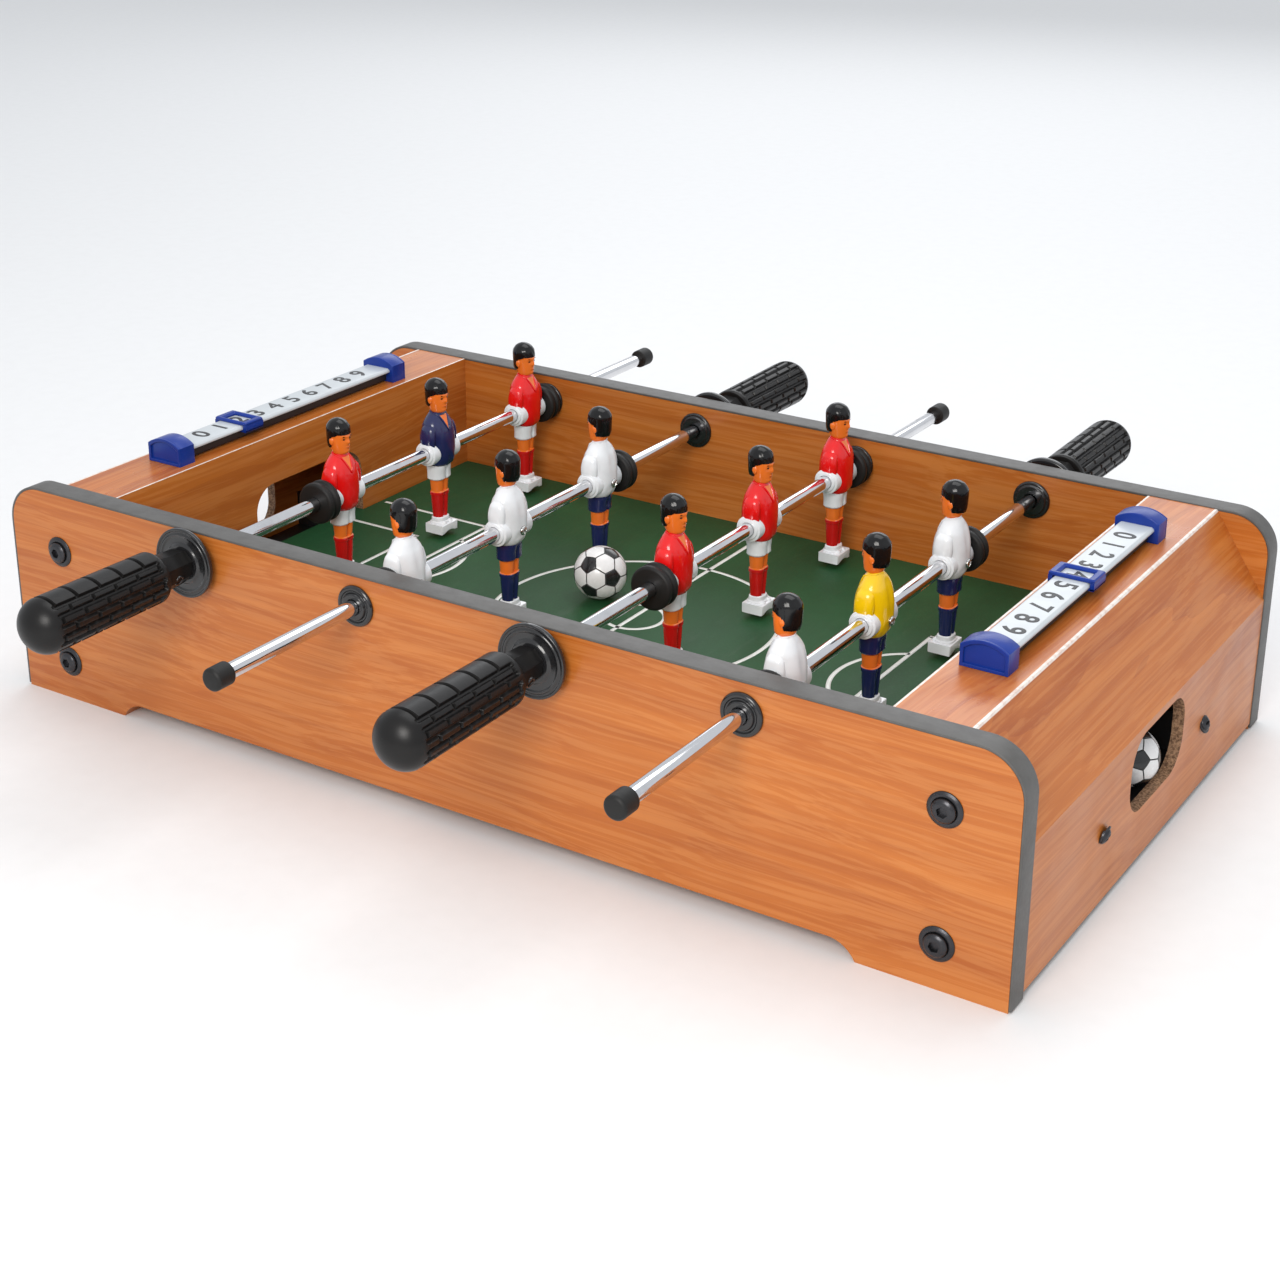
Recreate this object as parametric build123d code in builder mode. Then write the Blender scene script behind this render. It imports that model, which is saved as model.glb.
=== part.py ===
"""Tabletop foosball table: a wooden box with four sliding, spinning rods of players.

X runs from goal to goal, Y along the rods, Z up; the origin is under the middle of the table.
The layout is the same after half a turn about Z. All sizes are in millimetres.
"""
from build123d import *
import os
from math import sqrt

# ---- driving dimensions of the box -----------------------------------------
LENGTH = 508.0
WIDTH = 284.0
HEIGHT = 104.0
PANEL = 11.0
BAND = 1.2
CORNER = 19.0
FOOT_INNER = 190.5
RELIEF = 7.5
RELIEF_RUN = 12.0
BAND_LIFT = 1.0

FIELD_TOP = 44.0
FIELD_BOARD = 3.0
GROOVE = 3.0

BOARD = 5.0
GOAL_WALL_X = 195.5
GOAL_WALL_FOOT = 12.0
LEDGE_TOP = 103.5
LEDGE_EDGE_X = 228.0
END_X = 253.5
FOLD_Z = 65.0
END_FOOT = 3.0
GOAL_WIDTH = 80.0
GOAL_HEIGHT = 35.0
GOAL_CORNER = 13.0
RETURN_WIDTH = 61.0
RETURN_HEIGHT = 35.0
RETURN_CORNER = 14.0
RETURN_Z = 44.0

BLOCK_DEPTH = 14.0
BOLT_X = 223.5
BOLT_Z = (19.5, 75.0)
BOLT_RADIUS = 3.0
BOLT_CLEARANCE = 3.2
WASHER_RADIUS = 7.25
WASHER_THICKNESS = 1.2
NUT_RADIUS = 4.5
NUT_LENGTH = 12.0
NUT_INSET = 7.0
BOLT_PAST_NUT = 5.0
SCREW_Y = 58.0
SCREW_Z = 34.0

# ---- ball tray and balls ----------------------------------------------------
BALL_RADIUS = 12.75
PITCH_BALL = (-25.5, 10.0)
RETURN_BALL_X = 239.0
RETURN_BALL_Y = 8.0
RETURN_BALL_Z = 35.6
BALL_GAP = 0.25
TRAY_FLOOR = 2.5
TRAY_SLOPE = 0.08
TRAY_INNER = 48.0
TRAY_WALL = 2.0
TRAY_OUTER = 66.0
TRAY_TOP = 40.5
TRAY_BOSS = 12.0

# ---- score rails --------------------------------------------------------------
RAIL_X = 210.5
RAIL_BLOCK_Y = (74.5, 85.0)
RAIL_BLOCK_HALF = 10.0
RAIL_SIDE = 9.0
RAIL_CROWN = 12.3
BAR_HALF = 8.0
BAR_REACH = 80.5
BAR_BOTTOM = 5.5
BAR_TOP = 7.5
DIGIT_PITCH = 13.1
SCORE_LEFT_Y = -2.5 * DIGIT_PITCH
SCORE_RIGHT_Y = 0.5 * DIGIT_PITCH
SLIDER_HALF = 10.0
SLIDER_REACH = 6.3
SLIDER_BOTTOM = 4.2
SLIDER_TOP = 9.2
SLIDER_GAP = 0.15
WINDOW = (13.0, 8.6)
PEG_RADIUS = 2.0
PEG_DEPTH = 4.0

# ---- rods -----------------------------------------------------------------------
ROD_X = 139.5
ROD_PITCH = 93.0
ROD_Z = 90.0
ROD_RADIUS = 3.3
ROD_WALL = 0.8
REST_SHIFT = 34.0
BORE_RADIUS = 6.5
FLANGE_RADIUS = 9.2
FLANGE = 1.8
FLANGE_BOSS = 2.6
INNER_FLANGE = 1.6
INNER_BOSS = 2.5
INNER_BOSS_RADIUS = 7.5
BOSS_RADIUS = 5.8
BARREL_PAST = 1.1
SLEEVE_RADIUS = 4.5
SLEEVE_BORE = 3.35
RUNNING_GAP = 0.05
LIP_RADIUS = 3.6
OUTER_LIP = 1.2

PLAYER_PITCH = 75.0
PLAYER_HALF = 11.3
BUMPER_LENGTH = 8.0
BUMPER_RADIUS = 10.0
BUMPER_GROOVE = 1.0
FOOT_BOTTOM = -43.5
HEAD_TOP = 37.0
GUARD_GAP = 0.6
GUARD = 3.4
GUARD_RADIUS = 16.0
GUARD_RIM = 2.0
GUARD_DISH = 1.0
GUARD_EDGE = 0.7
NECK_LENGTH = 17.4
NECK_RADIUS = 8.2
NECK_SIDES = 8
GRIP_LENGTH = 71.5
GRIP_SHOULDER = 11.7
GRIP_RADIUS = 12.3
GRIP_ROUND = 1.5
DOME = 10.5
DOME_WALL = 1.0
STUB_END = 193.0
CAP_RADIUS = 4.9
CAP_START = 186.0
CAP_END = 195.5
CAP_BEVEL = 0.8
PIN_RADIUS = 1.0
PIN_HEAD = 2.1
SET_SCREW_INSET = 9.0
SET_SCREW_RADIUS = 1.75
SET_SCREW_SUNK = 1.5

# ---- small hardware -----------------------------------------------------------
STEM = 1.6
STEM_DEPTH = 5.0
SCREW_RADIUS = 1.9
SCREW_BITE = 9.0
SCREW_FLANGE_RADIUS = 4.6
SCREW_FLANGE = 0.8
SCREW_HEAD_RADIUS = 3.4
SCREW_HEAD = 2.6
BOLT_HEAD_RADIUS = 4.9
BOLT_HEAD = 2.0
HEX_RADIUS = 1.9
HEX_DEPTH = 1.4

# ---- one player: depth (X), breadth (Y) and corner radius at each height --------
LEG_SECTIONS = ((-37.5, 5.5, 8.0, 2.0), (-22.0, 6.6, 9.4, 2.6), (-8.0, 9.0, 12.5, 3.6))
TORSO_SECTIONS = (
    (-11.5, 11.5, 12.5, 4.5),
    (-4.0, 15.5, 16.0, 5.5),
    (4.0, 15.5, 16.5, 5.5),
    (12.5, 13.0, 17.5, 5.0),
    (18.0, 8.0, 12.0, 3.5),
    (21.0, 6.0, 7.0, 2.5),
)
FOOT = (11.0, 12.8, 4.5)
ANKLE = (8.0, 9.6, 7.0)
FOOT_FORWARD = 0.6
HEAD_RADIUS = 5.6
HEAD_HALF = 8.7
HUB_RADIUS = 6.2
PIN_SEAT = -8.2
PIN_HEAD_HEIGHT = 1.1

# ---- worked out -------------------------------------------------------------------
HALF_L = LENGTH / 2
OUTER_Y = WIDTH / 2
INNER_Y = OUTER_Y - PANEL
FIELD_BOTTOM = FIELD_TOP - FIELD_BOARD
GUARD_FACE = -(OUTER_Y + FLANGE_BOSS + GUARD_GAP + REST_SHIFT)
NECK_START = GUARD_FACE - GUARD
GRIP_START = NECK_START - NECK_LENGTH
GRIP_TIP = GRIP_START - GRIP_LENGTH
ROD_START = GRIP_TIP + DOME + DOME_WALL
PLAYER_Y = (-PLAYER_PITCH, 0.0, PLAYER_PITCH)
ROD_XS = (-ROD_X, -ROD_X + ROD_PITCH, ROD_X - ROD_PITCH, ROD_X)
FACES = ((-1, "front"), (1, "back"))


def save(part, name):
    """Label a finished piece and write its STEP file."""
    part.label = name
    export_step(part, f"parts/{name}.step")


def half_turn(shape):
    """The same piece on the other side of the table, half a turn about Z."""
    return Rot(0, 0, 180) * shape


def outline(inset, foot):
    """A side panel's outline in XZ, with round top corners and a straight bottom."""
    half = HALF_L - inset
    top = HEIGHT - inset
    radius = CORNER - inset
    with BuildSketch(Plane.XZ, mode=Mode.PRIVATE) as shape:
        with BuildLine():
            Line((-half, foot), (half, foot))
            Line((half, foot), (half, top - radius))
            TangentArc((half, top - radius), (half - radius, top), tangent=(0, 1))
            Line((half - radius, top), (-half + radius, top))
            TangentArc((-half + radius, top), (-half, top - radius), tangent=(-1, 0))
            Line((-half, top - radius), (-half, foot))
        make_face()
    return shape.sketch


def side_panel(side):
    """One long wooden side, grooved for the playfield and the edge band, drilled for the rods."""
    with BuildPart() as panel:
        with BuildSketch(Plane.XZ.offset(-INNER_Y)):
            add(outline(BAND, 0.0))
        extrude(amount=-PANEL)
        with BuildSketch(Plane.XZ.offset(-INNER_Y)):
            with BuildLine():
                Line((-FOOT_INNER, 0), (FOOT_INNER, 0))
                TangentArc((FOOT_INNER - RELIEF_RUN, RELIEF), (FOOT_INNER, 0), tangent=(1, 0))
                Line((FOOT_INNER - RELIEF_RUN, RELIEF), (-FOOT_INNER + RELIEF_RUN, RELIEF))
                TangentArc((-FOOT_INNER + RELIEF_RUN, RELIEF), (-FOOT_INNER, 0), tangent=(-1, 0))
            make_face()
        extrude(amount=-PANEL, mode=Mode.SUBTRACT)
        with BuildSketch(Plane.XZ.offset(-INNER_Y)):
            with Locations(*[(x, ROD_Z) for x in ROD_XS]):
                Circle(BORE_RADIUS)
            with Locations(*[(x, z) for x in (-BOLT_X, BOLT_X) for z in BOLT_Z]):
                Circle(BOLT_CLEARANCE)
        extrude(amount=-PANEL, mode=Mode.SUBTRACT)
        with BuildSketch(Plane.XZ.offset(-INNER_Y)):
            with Locations((0, FIELD_BOTTOM + FIELD_BOARD / 2)):
                Rectangle(2 * GOAL_WALL_X, FIELD_BOARD)
        extrude(amount=-GROOVE, mode=Mode.SUBTRACT)
        with BuildSketch(Plane.XZ.offset(-OUTER_Y + PANEL / 2 + STEM / 2)):
            add(outline(BAND, BAND_LIFT))
            add(outline(BAND + STEM_DEPTH, BAND_LIFT), mode=Mode.SUBTRACT)
        extrude(amount=-STEM, mode=Mode.SUBTRACT)
    return panel.part if side > 0 else mirror(panel.part, about=Plane.XZ)


def edge_band(side):
    """The grey edge moulding round the ends and top of one side panel, with its stem."""
    with BuildPart() as band:
        with BuildSketch(Plane.XZ.offset(-INNER_Y)):
            add(outline(0.0, BAND_LIFT))
            add(outline(BAND, 0.0), mode=Mode.SUBTRACT)
        extrude(amount=-PANEL)
        with BuildSketch(Plane.XZ.offset(-OUTER_Y + PANEL / 2 + STEM / 2)):
            add(outline(BAND, BAND_LIFT))
            add(outline(BAND + STEM_DEPTH, BAND_LIFT), mode=Mode.SUBTRACT)
        extrude(amount=-STEM)
    return band.part if side > 0 else mirror(band.part, about=Plane.XZ)


def playfield_board():
    """The green board, held in the panels' grooves, with a tongue through each goal."""
    with BuildPart() as board:
        with BuildSketch(Plane.XY.offset(FIELD_BOTTOM)):
            Rectangle(2 * GOAL_WALL_X, 2 * (INNER_Y + GROOVE))
            Rectangle(2 * (GOAL_WALL_X + BOARD), GOAL_WIDTH)
        extrude(amount=FIELD_BOARD)
    return board.part


def folded_profile():
    """Outer and inner corner points (x, z) of the four mitred boards at the +X end."""
    outer = [
        (GOAL_WALL_X, GOAL_WALL_FOOT),
        (GOAL_WALL_X, LEDGE_TOP),
        (LEDGE_EDGE_X, LEDGE_TOP),
        (END_X, FOLD_Z),
        (END_X, END_FOOT),
    ]
    normals = []
    for (x0, z0), (x1, z1) in zip(outer, outer[1:]):
        run = sqrt((x1 - x0) ** 2 + (z1 - z0) ** 2)
        normals.append(((z1 - z0) / run, -(x1 - x0) / run))
    inner = []
    for i, (x, z) in enumerate(outer):
        before = normals[max(i - 1, 0)]
        after = normals[min(i, len(normals) - 1)]
        scale = BOARD / (1 + before[0] * after[0] + before[1] * after[1])
        inner.append((x + (before[0] + after[0]) * scale, z + (before[1] + after[1]) * scale))
    return outer, inner


def folded_board(index):
    """Board number index of an end: goal wall, ledge, slope or end board, as mitred stock."""
    outer, inner = folded_profile()
    with BuildPart() as board:
        with BuildSketch(Plane.XZ.offset(-INNER_Y)):
            with BuildLine():
                Polyline(outer[index], outer[index + 1], inner[index + 1], inner[index], close=True)
            make_face()
        extrude(amount=2 * INNER_Y)
    return board.part


def goal_wall():
    """The inner end wall with its round-cornered goal mouth."""
    middle = FIELD_BOTTOM + (GOAL_HEIGHT + FIELD_BOARD) / 2
    with BuildPart() as wall:
        add(folded_board(0))
        with BuildSketch(Plane.YZ.offset(GOAL_WALL_X)) as mouth:
            with Locations((0, middle)):
                Rectangle(GOAL_WIDTH, GOAL_HEIGHT + FIELD_BOARD)
            fillet(mouth.vertices().group_by(Axis.Y)[-1], GOAL_CORNER)
        extrude(amount=BOARD, mode=Mode.SUBTRACT)
    return wall.part


def ledge_board():
    """The flat top of an end, with the peg holes of the score rail."""
    with BuildPart() as ledge:
        add(folded_board(1))
        with BuildSketch(Plane.XY.offset(LEDGE_TOP)):
            with Locations(*[(RAIL_X, s * sum(RAIL_BLOCK_Y) / 2) for s in (-1, 1)]):
                Circle(PEG_RADIUS)
        extrude(amount=-PEG_DEPTH, mode=Mode.SUBTRACT)
    return ledge.part


def end_board():
    """The upright outer board with the ball return hole and two screw holes."""
    with BuildPart() as board:
        add(folded_board(3))
        with BuildSketch(Plane.YZ.offset(END_X)):
            with Locations((0, RETURN_Z)):
                RectangleRounded(RETURN_WIDTH, RETURN_HEIGHT, RETURN_CORNER)
            with Locations((-SCREW_Y, SCREW_Z), (SCREW_Y, SCREW_Z)):
                Circle(SCREW_RADIUS)
        extrude(amount=-BOARD, mode=Mode.SUBTRACT)
    return board.part


def tray_floor_z(x):
    """Height of the tray's sloping floor at x."""
    return RETURN_BALL_Z - BALL_RADIUS - BALL_GAP - (x - RETURN_BALL_X) * TRAY_SLOPE


def ball_tray():
    """The black moulding that carries a ball from the goal to the return hole."""
    back = GOAL_WALL_X + BOARD
    front = END_X - BOARD
    with BuildPart() as tray:
        with BuildSketch(Plane.XZ.offset(-TRAY_OUTER)):
            with BuildLine():
                Polyline(
                    (back, tray_floor_z(back)),
                    (front, tray_floor_z(front)),
                    (front, tray_floor_z(front) - TRAY_FLOOR),
                    (back, tray_floor_z(back) - TRAY_FLOOR),
                    close=True,
                )
            make_face()
        extrude(amount=2 * TRAY_OUTER)
        with BuildSketch(Plane.XY.offset(TRAY_TOP)):
            for s in (-1, 1):
                with Locations(((back + front) / 2, s * (TRAY_INNER + TRAY_WALL / 2))):
                    Rectangle(front - back, TRAY_WALL)
                with Locations((front - TRAY_BOSS / 2, s * (TRAY_INNER + TRAY_OUTER) / 2)):
                    Rectangle(TRAY_BOSS, TRAY_OUTER - TRAY_INNER)
        extrude(until=Until.NEXT, dir=(0, 0, -1))
        with BuildSketch(Plane.YZ.offset(front)):
            with Locations((-SCREW_Y, SCREW_Z), (SCREW_Y, SCREW_Z)):
                Circle(SCREW_RADIUS)
        extrude(amount=-SCREW_BITE, mode=Mode.SUBTRACT)
    return tray.part


def end_block(side):
    """A wooden block behind the four end boards that the panel bolts pull against."""
    _, inner = folded_profile()
    start = INNER_Y - BLOCK_DEPTH
    with BuildPart() as block:
        with BuildSketch(Plane.XZ.offset(-start)):
            with BuildLine():
                Polyline(
                    (inner[1][0], GOAL_WALL_FOOT),
                    inner[1],
                    inner[2],
                    inner[3],
                    (inner[3][0], GOAL_WALL_FOOT),
                    close=True,
                )
            make_face()
        extrude(amount=-BLOCK_DEPTH)
        with BuildSketch(Plane.XZ.offset(-start)):
            with Locations(*[(BOLT_X, z) for z in BOLT_Z]):
                Circle(BOLT_CLEARANCE)
        extrude(amount=-BLOCK_DEPTH, mode=Mode.SUBTRACT)
        with BuildSketch(Plane.YZ.offset(inner[1][0])):
            with Locations(*[(INNER_Y - NUT_INSET, z) for z in BOLT_Z]):
                Circle(NUT_RADIUS)
        extrude(amount=BOLT_X + NUT_LENGTH / 2 - inner[1][0], mode=Mode.SUBTRACT)
    return block.part if side > 0 else mirror(block.part, about=Plane.XZ)


def barrel_nut():
    """A cross dowel along X about the origin, with the bolt's hole through it along Y."""
    with BuildPart() as nut:
        Cylinder(NUT_RADIUS, NUT_LENGTH, rotation=(0, 90, 0))
        Cylinder(BOLT_RADIUS, 2 * NUT_RADIUS, rotation=(90, 0, 0), mode=Mode.SUBTRACT)
    return nut.part


def panel_bolt():
    """A socket bolt along Y, its head's underside at the origin and its shank towards -Y."""
    shank = PANEL + NUT_INSET + BOLT_PAST_NUT + WASHER_THICKNESS
    with BuildPart() as bolt:
        with BuildSketch(Plane.XY):
            with BuildLine():
                Polyline((0, 0), (BOLT_HEAD_RADIUS, 0), (BOLT_HEAD_RADIUS, BOLT_HEAD / 2))
                TangentArc((0, BOLT_HEAD), (BOLT_HEAD_RADIUS, BOLT_HEAD / 2), tangent=(1, 0))
                Line((0, BOLT_HEAD), (0, 0))
            make_face()
            with Locations((BOLT_RADIUS / 2, -shank / 2)):
                Rectangle(BOLT_RADIUS, shank)
        revolve(axis=Axis.Y)
        with BuildSketch(Plane.XZ.offset(-BOLT_HEAD)):
            RegularPolygon(HEX_RADIUS, 6)
        extrude(amount=HEX_DEPTH, mode=Mode.SUBTRACT)
    return bolt.part


def bolt_washer():
    """A bevelled washer lying in XZ with its back on the origin."""
    with BuildPart() as washer:
        with BuildSketch(Plane.XY):
            with BuildLine():
                Polyline(
                    (BOLT_RADIUS, 0),
                    (WASHER_RADIUS, 0),
                    (WASHER_RADIUS, WASHER_THICKNESS / 2),
                    (WASHER_RADIUS - WASHER_THICKNESS, WASHER_THICKNESS),
                    (BOLT_RADIUS, WASHER_THICKNESS),
                    close=True,
                )
            make_face()
        revolve(axis=Axis.Y)
    return washer.part


def end_screw():
    """A pan-head screw with its flange, along X, its seat at the origin."""
    with BuildPart() as screw:
        with BuildSketch(Plane.XY):
            with BuildLine():
                Line((0, -BOARD - SCREW_BITE), (SCREW_RADIUS, -BOARD - SCREW_BITE))
                Line((SCREW_RADIUS, -BOARD - SCREW_BITE), (SCREW_RADIUS, 0))
                Line((SCREW_RADIUS, 0), (SCREW_FLANGE_RADIUS, 0))
                Line((SCREW_FLANGE_RADIUS, 0), (SCREW_FLANGE_RADIUS, SCREW_FLANGE))
                Line((SCREW_FLANGE_RADIUS, SCREW_FLANGE), (SCREW_HEAD_RADIUS, SCREW_FLANGE))
                TangentArc((0, SCREW_HEAD), (SCREW_HEAD_RADIUS, SCREW_FLANGE), tangent=(1, 0))
                Line((0, SCREW_HEAD), (0, -BOARD - SCREW_BITE))
            make_face()
        revolve(axis=Axis.Y)
    return Rot(0, 0, -90) * screw.part


def rail_block():
    """An arch-topped end block of a score rail on the +Y end, its peg in the ledge."""
    near, far = RAIL_BLOCK_Y
    with BuildPart() as block:
        with BuildSketch(Plane.XZ.offset(-near)):
            with BuildLine():
                Line((-RAIL_BLOCK_HALF, 0), (RAIL_BLOCK_HALF, 0))
                Line((RAIL_BLOCK_HALF, 0), (RAIL_BLOCK_HALF, RAIL_SIDE))
                ThreePointArc((RAIL_BLOCK_HALF, RAIL_SIDE), (0, RAIL_CROWN), (-RAIL_BLOCK_HALF, RAIL_SIDE))
                Line((-RAIL_BLOCK_HALF, RAIL_SIDE), (-RAIL_BLOCK_HALF, 0))
            make_face()
        extrude(amount=near - far)
        with BuildSketch(Plane.XZ.offset(-near)):
            with Locations((0, (BAR_BOTTOM + BAR_TOP) / 2)):
                Rectangle(2 * BAR_HALF, BAR_TOP - BAR_BOTTOM)
        extrude(amount=near - BAR_REACH, mode=Mode.SUBTRACT)
        with BuildSketch(Plane.XY):
            with Locations((0, (near + far) / 2)):
                Circle(PEG_RADIUS)
        extrude(amount=-PEG_DEPTH)
    return Pos(RAIL_X, 0, LEDGE_TOP) * block.part


def score_bar():
    """The white strip that carries the digits."""
    with BuildPart() as bar:
        with BuildSketch(Plane.XY.offset(LEDGE_TOP + BAR_BOTTOM)):
            with Locations((RAIL_X, 0)):
                Rectangle(2 * BAR_HALF, 2 * BAR_REACH)
        extrude(amount=BAR_TOP - BAR_BOTTOM)
    return bar.part


def score_slider(y):
    """The windowed marker that slides along the +X rail, centred on y."""
    with BuildPart() as slider:
        with BuildSketch(Plane.XY.offset(LEDGE_TOP + SLIDER_BOTTOM)):
            with Locations((RAIL_X, y)):
                Rectangle(2 * SLIDER_HALF, 2 * SLIDER_REACH)
        extrude(amount=SLIDER_TOP - SLIDER_BOTTOM)
        with BuildSketch(Plane.XY.offset(LEDGE_TOP + BAR_BOTTOM - SLIDER_GAP)):
            with Locations((RAIL_X, y)):
                Rectangle(2 * (BAR_HALF + SLIDER_GAP), 2 * SLIDER_REACH)
        extrude(amount=BAR_TOP - BAR_BOTTOM + 2 * SLIDER_GAP, mode=Mode.SUBTRACT)
        with BuildSketch(Plane.XY.offset(LEDGE_TOP + BAR_TOP)):
            with Locations((RAIL_X, y)):
                Rectangle(*WINDOW)
        extrude(amount=SLIDER_TOP - BAR_TOP, mode=Mode.SUBTRACT)
    return slider.part


def ball(centre):
    """A solid ball."""
    with BuildPart() as sphere:
        Sphere(BALL_RADIUS)
    return Pos(*centre) * sphere.part


def turned(points):
    """Revolve a closed outline of (radius, y) points about Y."""
    with BuildPart() as piece:
        with BuildSketch(Plane.XY):
            with BuildLine():
                Polyline(*points, close=True)
            make_face()
        revolve(axis=Axis.Y)
    return piece.part


def bushing_flange():
    """The outer half of a rod bushing about Y, in the +Y panel."""
    seat = OUTER_Y
    cavity = seat + FLANGE_BOSS - OUTER_LIP
    return turned([
        (BORE_RADIUS, INNER_Y - BARREL_PAST),
        (BORE_RADIUS, seat),
        (FLANGE_RADIUS, seat),
        (FLANGE_RADIUS, seat + FLANGE),
        (BOSS_RADIUS, seat + FLANGE),
        (BOSS_RADIUS, seat + FLANGE_BOSS),
        (LIP_RADIUS, seat + FLANGE_BOSS),
        (LIP_RADIUS, cavity),
        (SLEEVE_RADIUS + RUNNING_GAP, cavity),
        (SLEEVE_RADIUS + RUNNING_GAP, INNER_Y - BARREL_PAST),
    ])


def bushing_nut():
    """The inner half of a rod bushing about Y, on the +Y panel's inner face."""
    face = INNER_Y - INNER_BOSS
    return turned([
        (BORE_RADIUS, INNER_Y),
        (FLANGE_RADIUS, INNER_Y),
        (FLANGE_RADIUS, INNER_Y - INNER_FLANGE),
        (INNER_BOSS_RADIUS, INNER_Y - INNER_FLANGE),
        (INNER_BOSS_RADIUS, face),
        (LIP_RADIUS, face),
        (LIP_RADIUS, INNER_Y - BARREL_PAST),
        (BORE_RADIUS, INNER_Y - BARREL_PAST),
    ])


def sleeve():
    """The bearing sleeve about Y that turns inside the +Y bushing."""
    start = INNER_Y - BARREL_PAST + RUNNING_GAP
    end = OUTER_Y + FLANGE_BOSS - OUTER_LIP - RUNNING_GAP
    return turned([(SLEEVE_BORE, start), (SLEEVE_RADIUS, start), (SLEEVE_RADIUS, end), (SLEEVE_BORE, end)])


def rod_tube():
    """The chrome tube along Y, with a cross hole behind each player and one in the handle."""
    bore = ROD_RADIUS - ROD_WALL
    with BuildPart() as tube:
        with BuildSketch(Plane.XZ.offset(-ROD_START)):
            Circle(ROD_RADIUS)
            Circle(bore, mode=Mode.SUBTRACT)
        extrude(amount=ROD_START - STUB_END)
        with BuildSketch(Plane.YZ.offset(-ROD_RADIUS)):
            with Locations(*[(y, 0) for y in PLAYER_Y]):
                Circle(PIN_RADIUS)
        extrude(amount=ROD_RADIUS, mode=Mode.SUBTRACT)
    return tube.part


def grip():
    """The handle about Y: an eight-sided neck, a slightly tapered body and a domed end."""
    shoulder = (GRIP_SHOULDER - GRIP_ROUND, GRIP_START)
    side = (GRIP_SHOULDER, GRIP_START - GRIP_ROUND)
    with BuildPart() as handle:
        with BuildSketch(Plane.XY):
            with BuildLine():
                Line((0, GRIP_START), shoulder)
                TangentArc(shoulder, side, tangent=(1, 0))
                Line(side, (GRIP_RADIUS, GRIP_TIP + DOME))
                TangentArc((0, GRIP_TIP), (GRIP_RADIUS, GRIP_TIP + DOME), tangent=(1, 0))
                Line((0, GRIP_TIP), (0, GRIP_START))
            make_face()
        revolve(axis=Axis.Y)
        with BuildSketch(Plane.XZ.offset(-GRIP_START)):
            RegularPolygon(NECK_RADIUS, NECK_SIDES, rotation=180 / NECK_SIDES)
        extrude(amount=-NECK_LENGTH)
        with BuildSketch(Plane.XZ.offset(-ROD_START)):
            Circle(ROD_RADIUS)
        extrude(amount=ROD_START - NECK_START, mode=Mode.SUBTRACT)
        with BuildSketch(Plane.YZ.offset(-ROD_RADIUS)):
            with Locations((NECK_START - SET_SCREW_INSET, 0)):
                Circle(SET_SCREW_RADIUS)
        extrude(amount=-NECK_RADIUS, mode=Mode.SUBTRACT)
    return handle.part


def guard():
    """The glossy disc between the handle's neck and the panel."""
    rim = GUARD_RADIUS - GUARD_RIM
    return turned([
        (ROD_RADIUS, NECK_START),
        (rim, NECK_START + GUARD_DISH),
        (GUARD_RADIUS, NECK_START + GUARD_EDGE),
        (GUARD_RADIUS, GUARD_FACE - GUARD_EDGE),
        (rim, GUARD_FACE),
        (ROD_RADIUS, GUARD_FACE),
    ])


def end_cap():
    """The rubber cap on the plain end of a rod."""
    return turned([
        (ROD_RADIUS, CAP_START),
        (CAP_RADIUS, CAP_START),
        (CAP_RADIUS, CAP_END - CAP_BEVEL),
        (CAP_RADIUS - CAP_BEVEL, CAP_END),
        (0, CAP_END),
        (0, STUB_END),
        (ROD_RADIUS, STUB_END),
    ])


def bumper():
    """A grooved rubber ring about Y that stops the rod at the panel, outside the last player."""
    start = PLAYER_PITCH + PLAYER_HALF
    third = BUMPER_LENGTH / 3
    groove = BUMPER_RADIUS - BUMPER_GROOVE
    return turned([
        (ROD_RADIUS, start),
        (BUMPER_RADIUS, start),
        (BUMPER_RADIUS, start + third),
        (groove, start + third),
        (groove, start + 2 * third),
        (BUMPER_RADIUS, start + 2 * third),
        (BUMPER_RADIUS, start + BUMPER_LENGTH),
        (ROD_RADIUS, start + BUMPER_LENGTH),
    ])


def player():
    """A player facing +X, its rod's axis along Y through the origin."""
    with BuildPart() as figure:
        for sections in (LEG_SECTIONS, TORSO_SECTIONS):
            for height, depth, breadth, corner in sections:
                with BuildSketch(Plane.XY.offset(height)):
                    RectangleRounded(depth, breadth, corner)
            loft()
        for depth, breadth, height in (FOOT, ANKLE):
            with BuildSketch(Plane.XY.offset(FOOT_BOTTOM)):
                with Locations((FOOT_FORWARD, 0)):
                    Rectangle(depth, breadth)
            extrude(amount=height)
        with BuildSketch(Plane.XZ):
            with Locations((0, HEAD_TOP - HEAD_HALF)):
                Ellipse(HEAD_RADIUS, HEAD_HALF)
                Rectangle(2 * HEAD_RADIUS, 2 * HEAD_HALF, align=(Align.MAX, Align.CENTER), mode=Mode.SUBTRACT)
        revolve(axis=Axis.Z)
        Cylinder(HUB_RADIUS, 2 * PLAYER_HALF, rotation=(90, 0, 0))
        Cylinder(ROD_RADIUS, 2 * PLAYER_HALF, rotation=(90, 0, 0), mode=Mode.SUBTRACT)
        with BuildSketch(Plane.YZ.offset(PIN_SEAT)):
            Circle(PIN_RADIUS)
        extrude(amount=-PIN_SEAT, mode=Mode.SUBTRACT)
        with BuildSketch(Plane.YZ.offset(PIN_SEAT)):
            Circle(PIN_HEAD)
        extrude(amount=-PIN_HEAD_HEIGHT, mode=Mode.SUBTRACT)
    return figure.part


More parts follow.
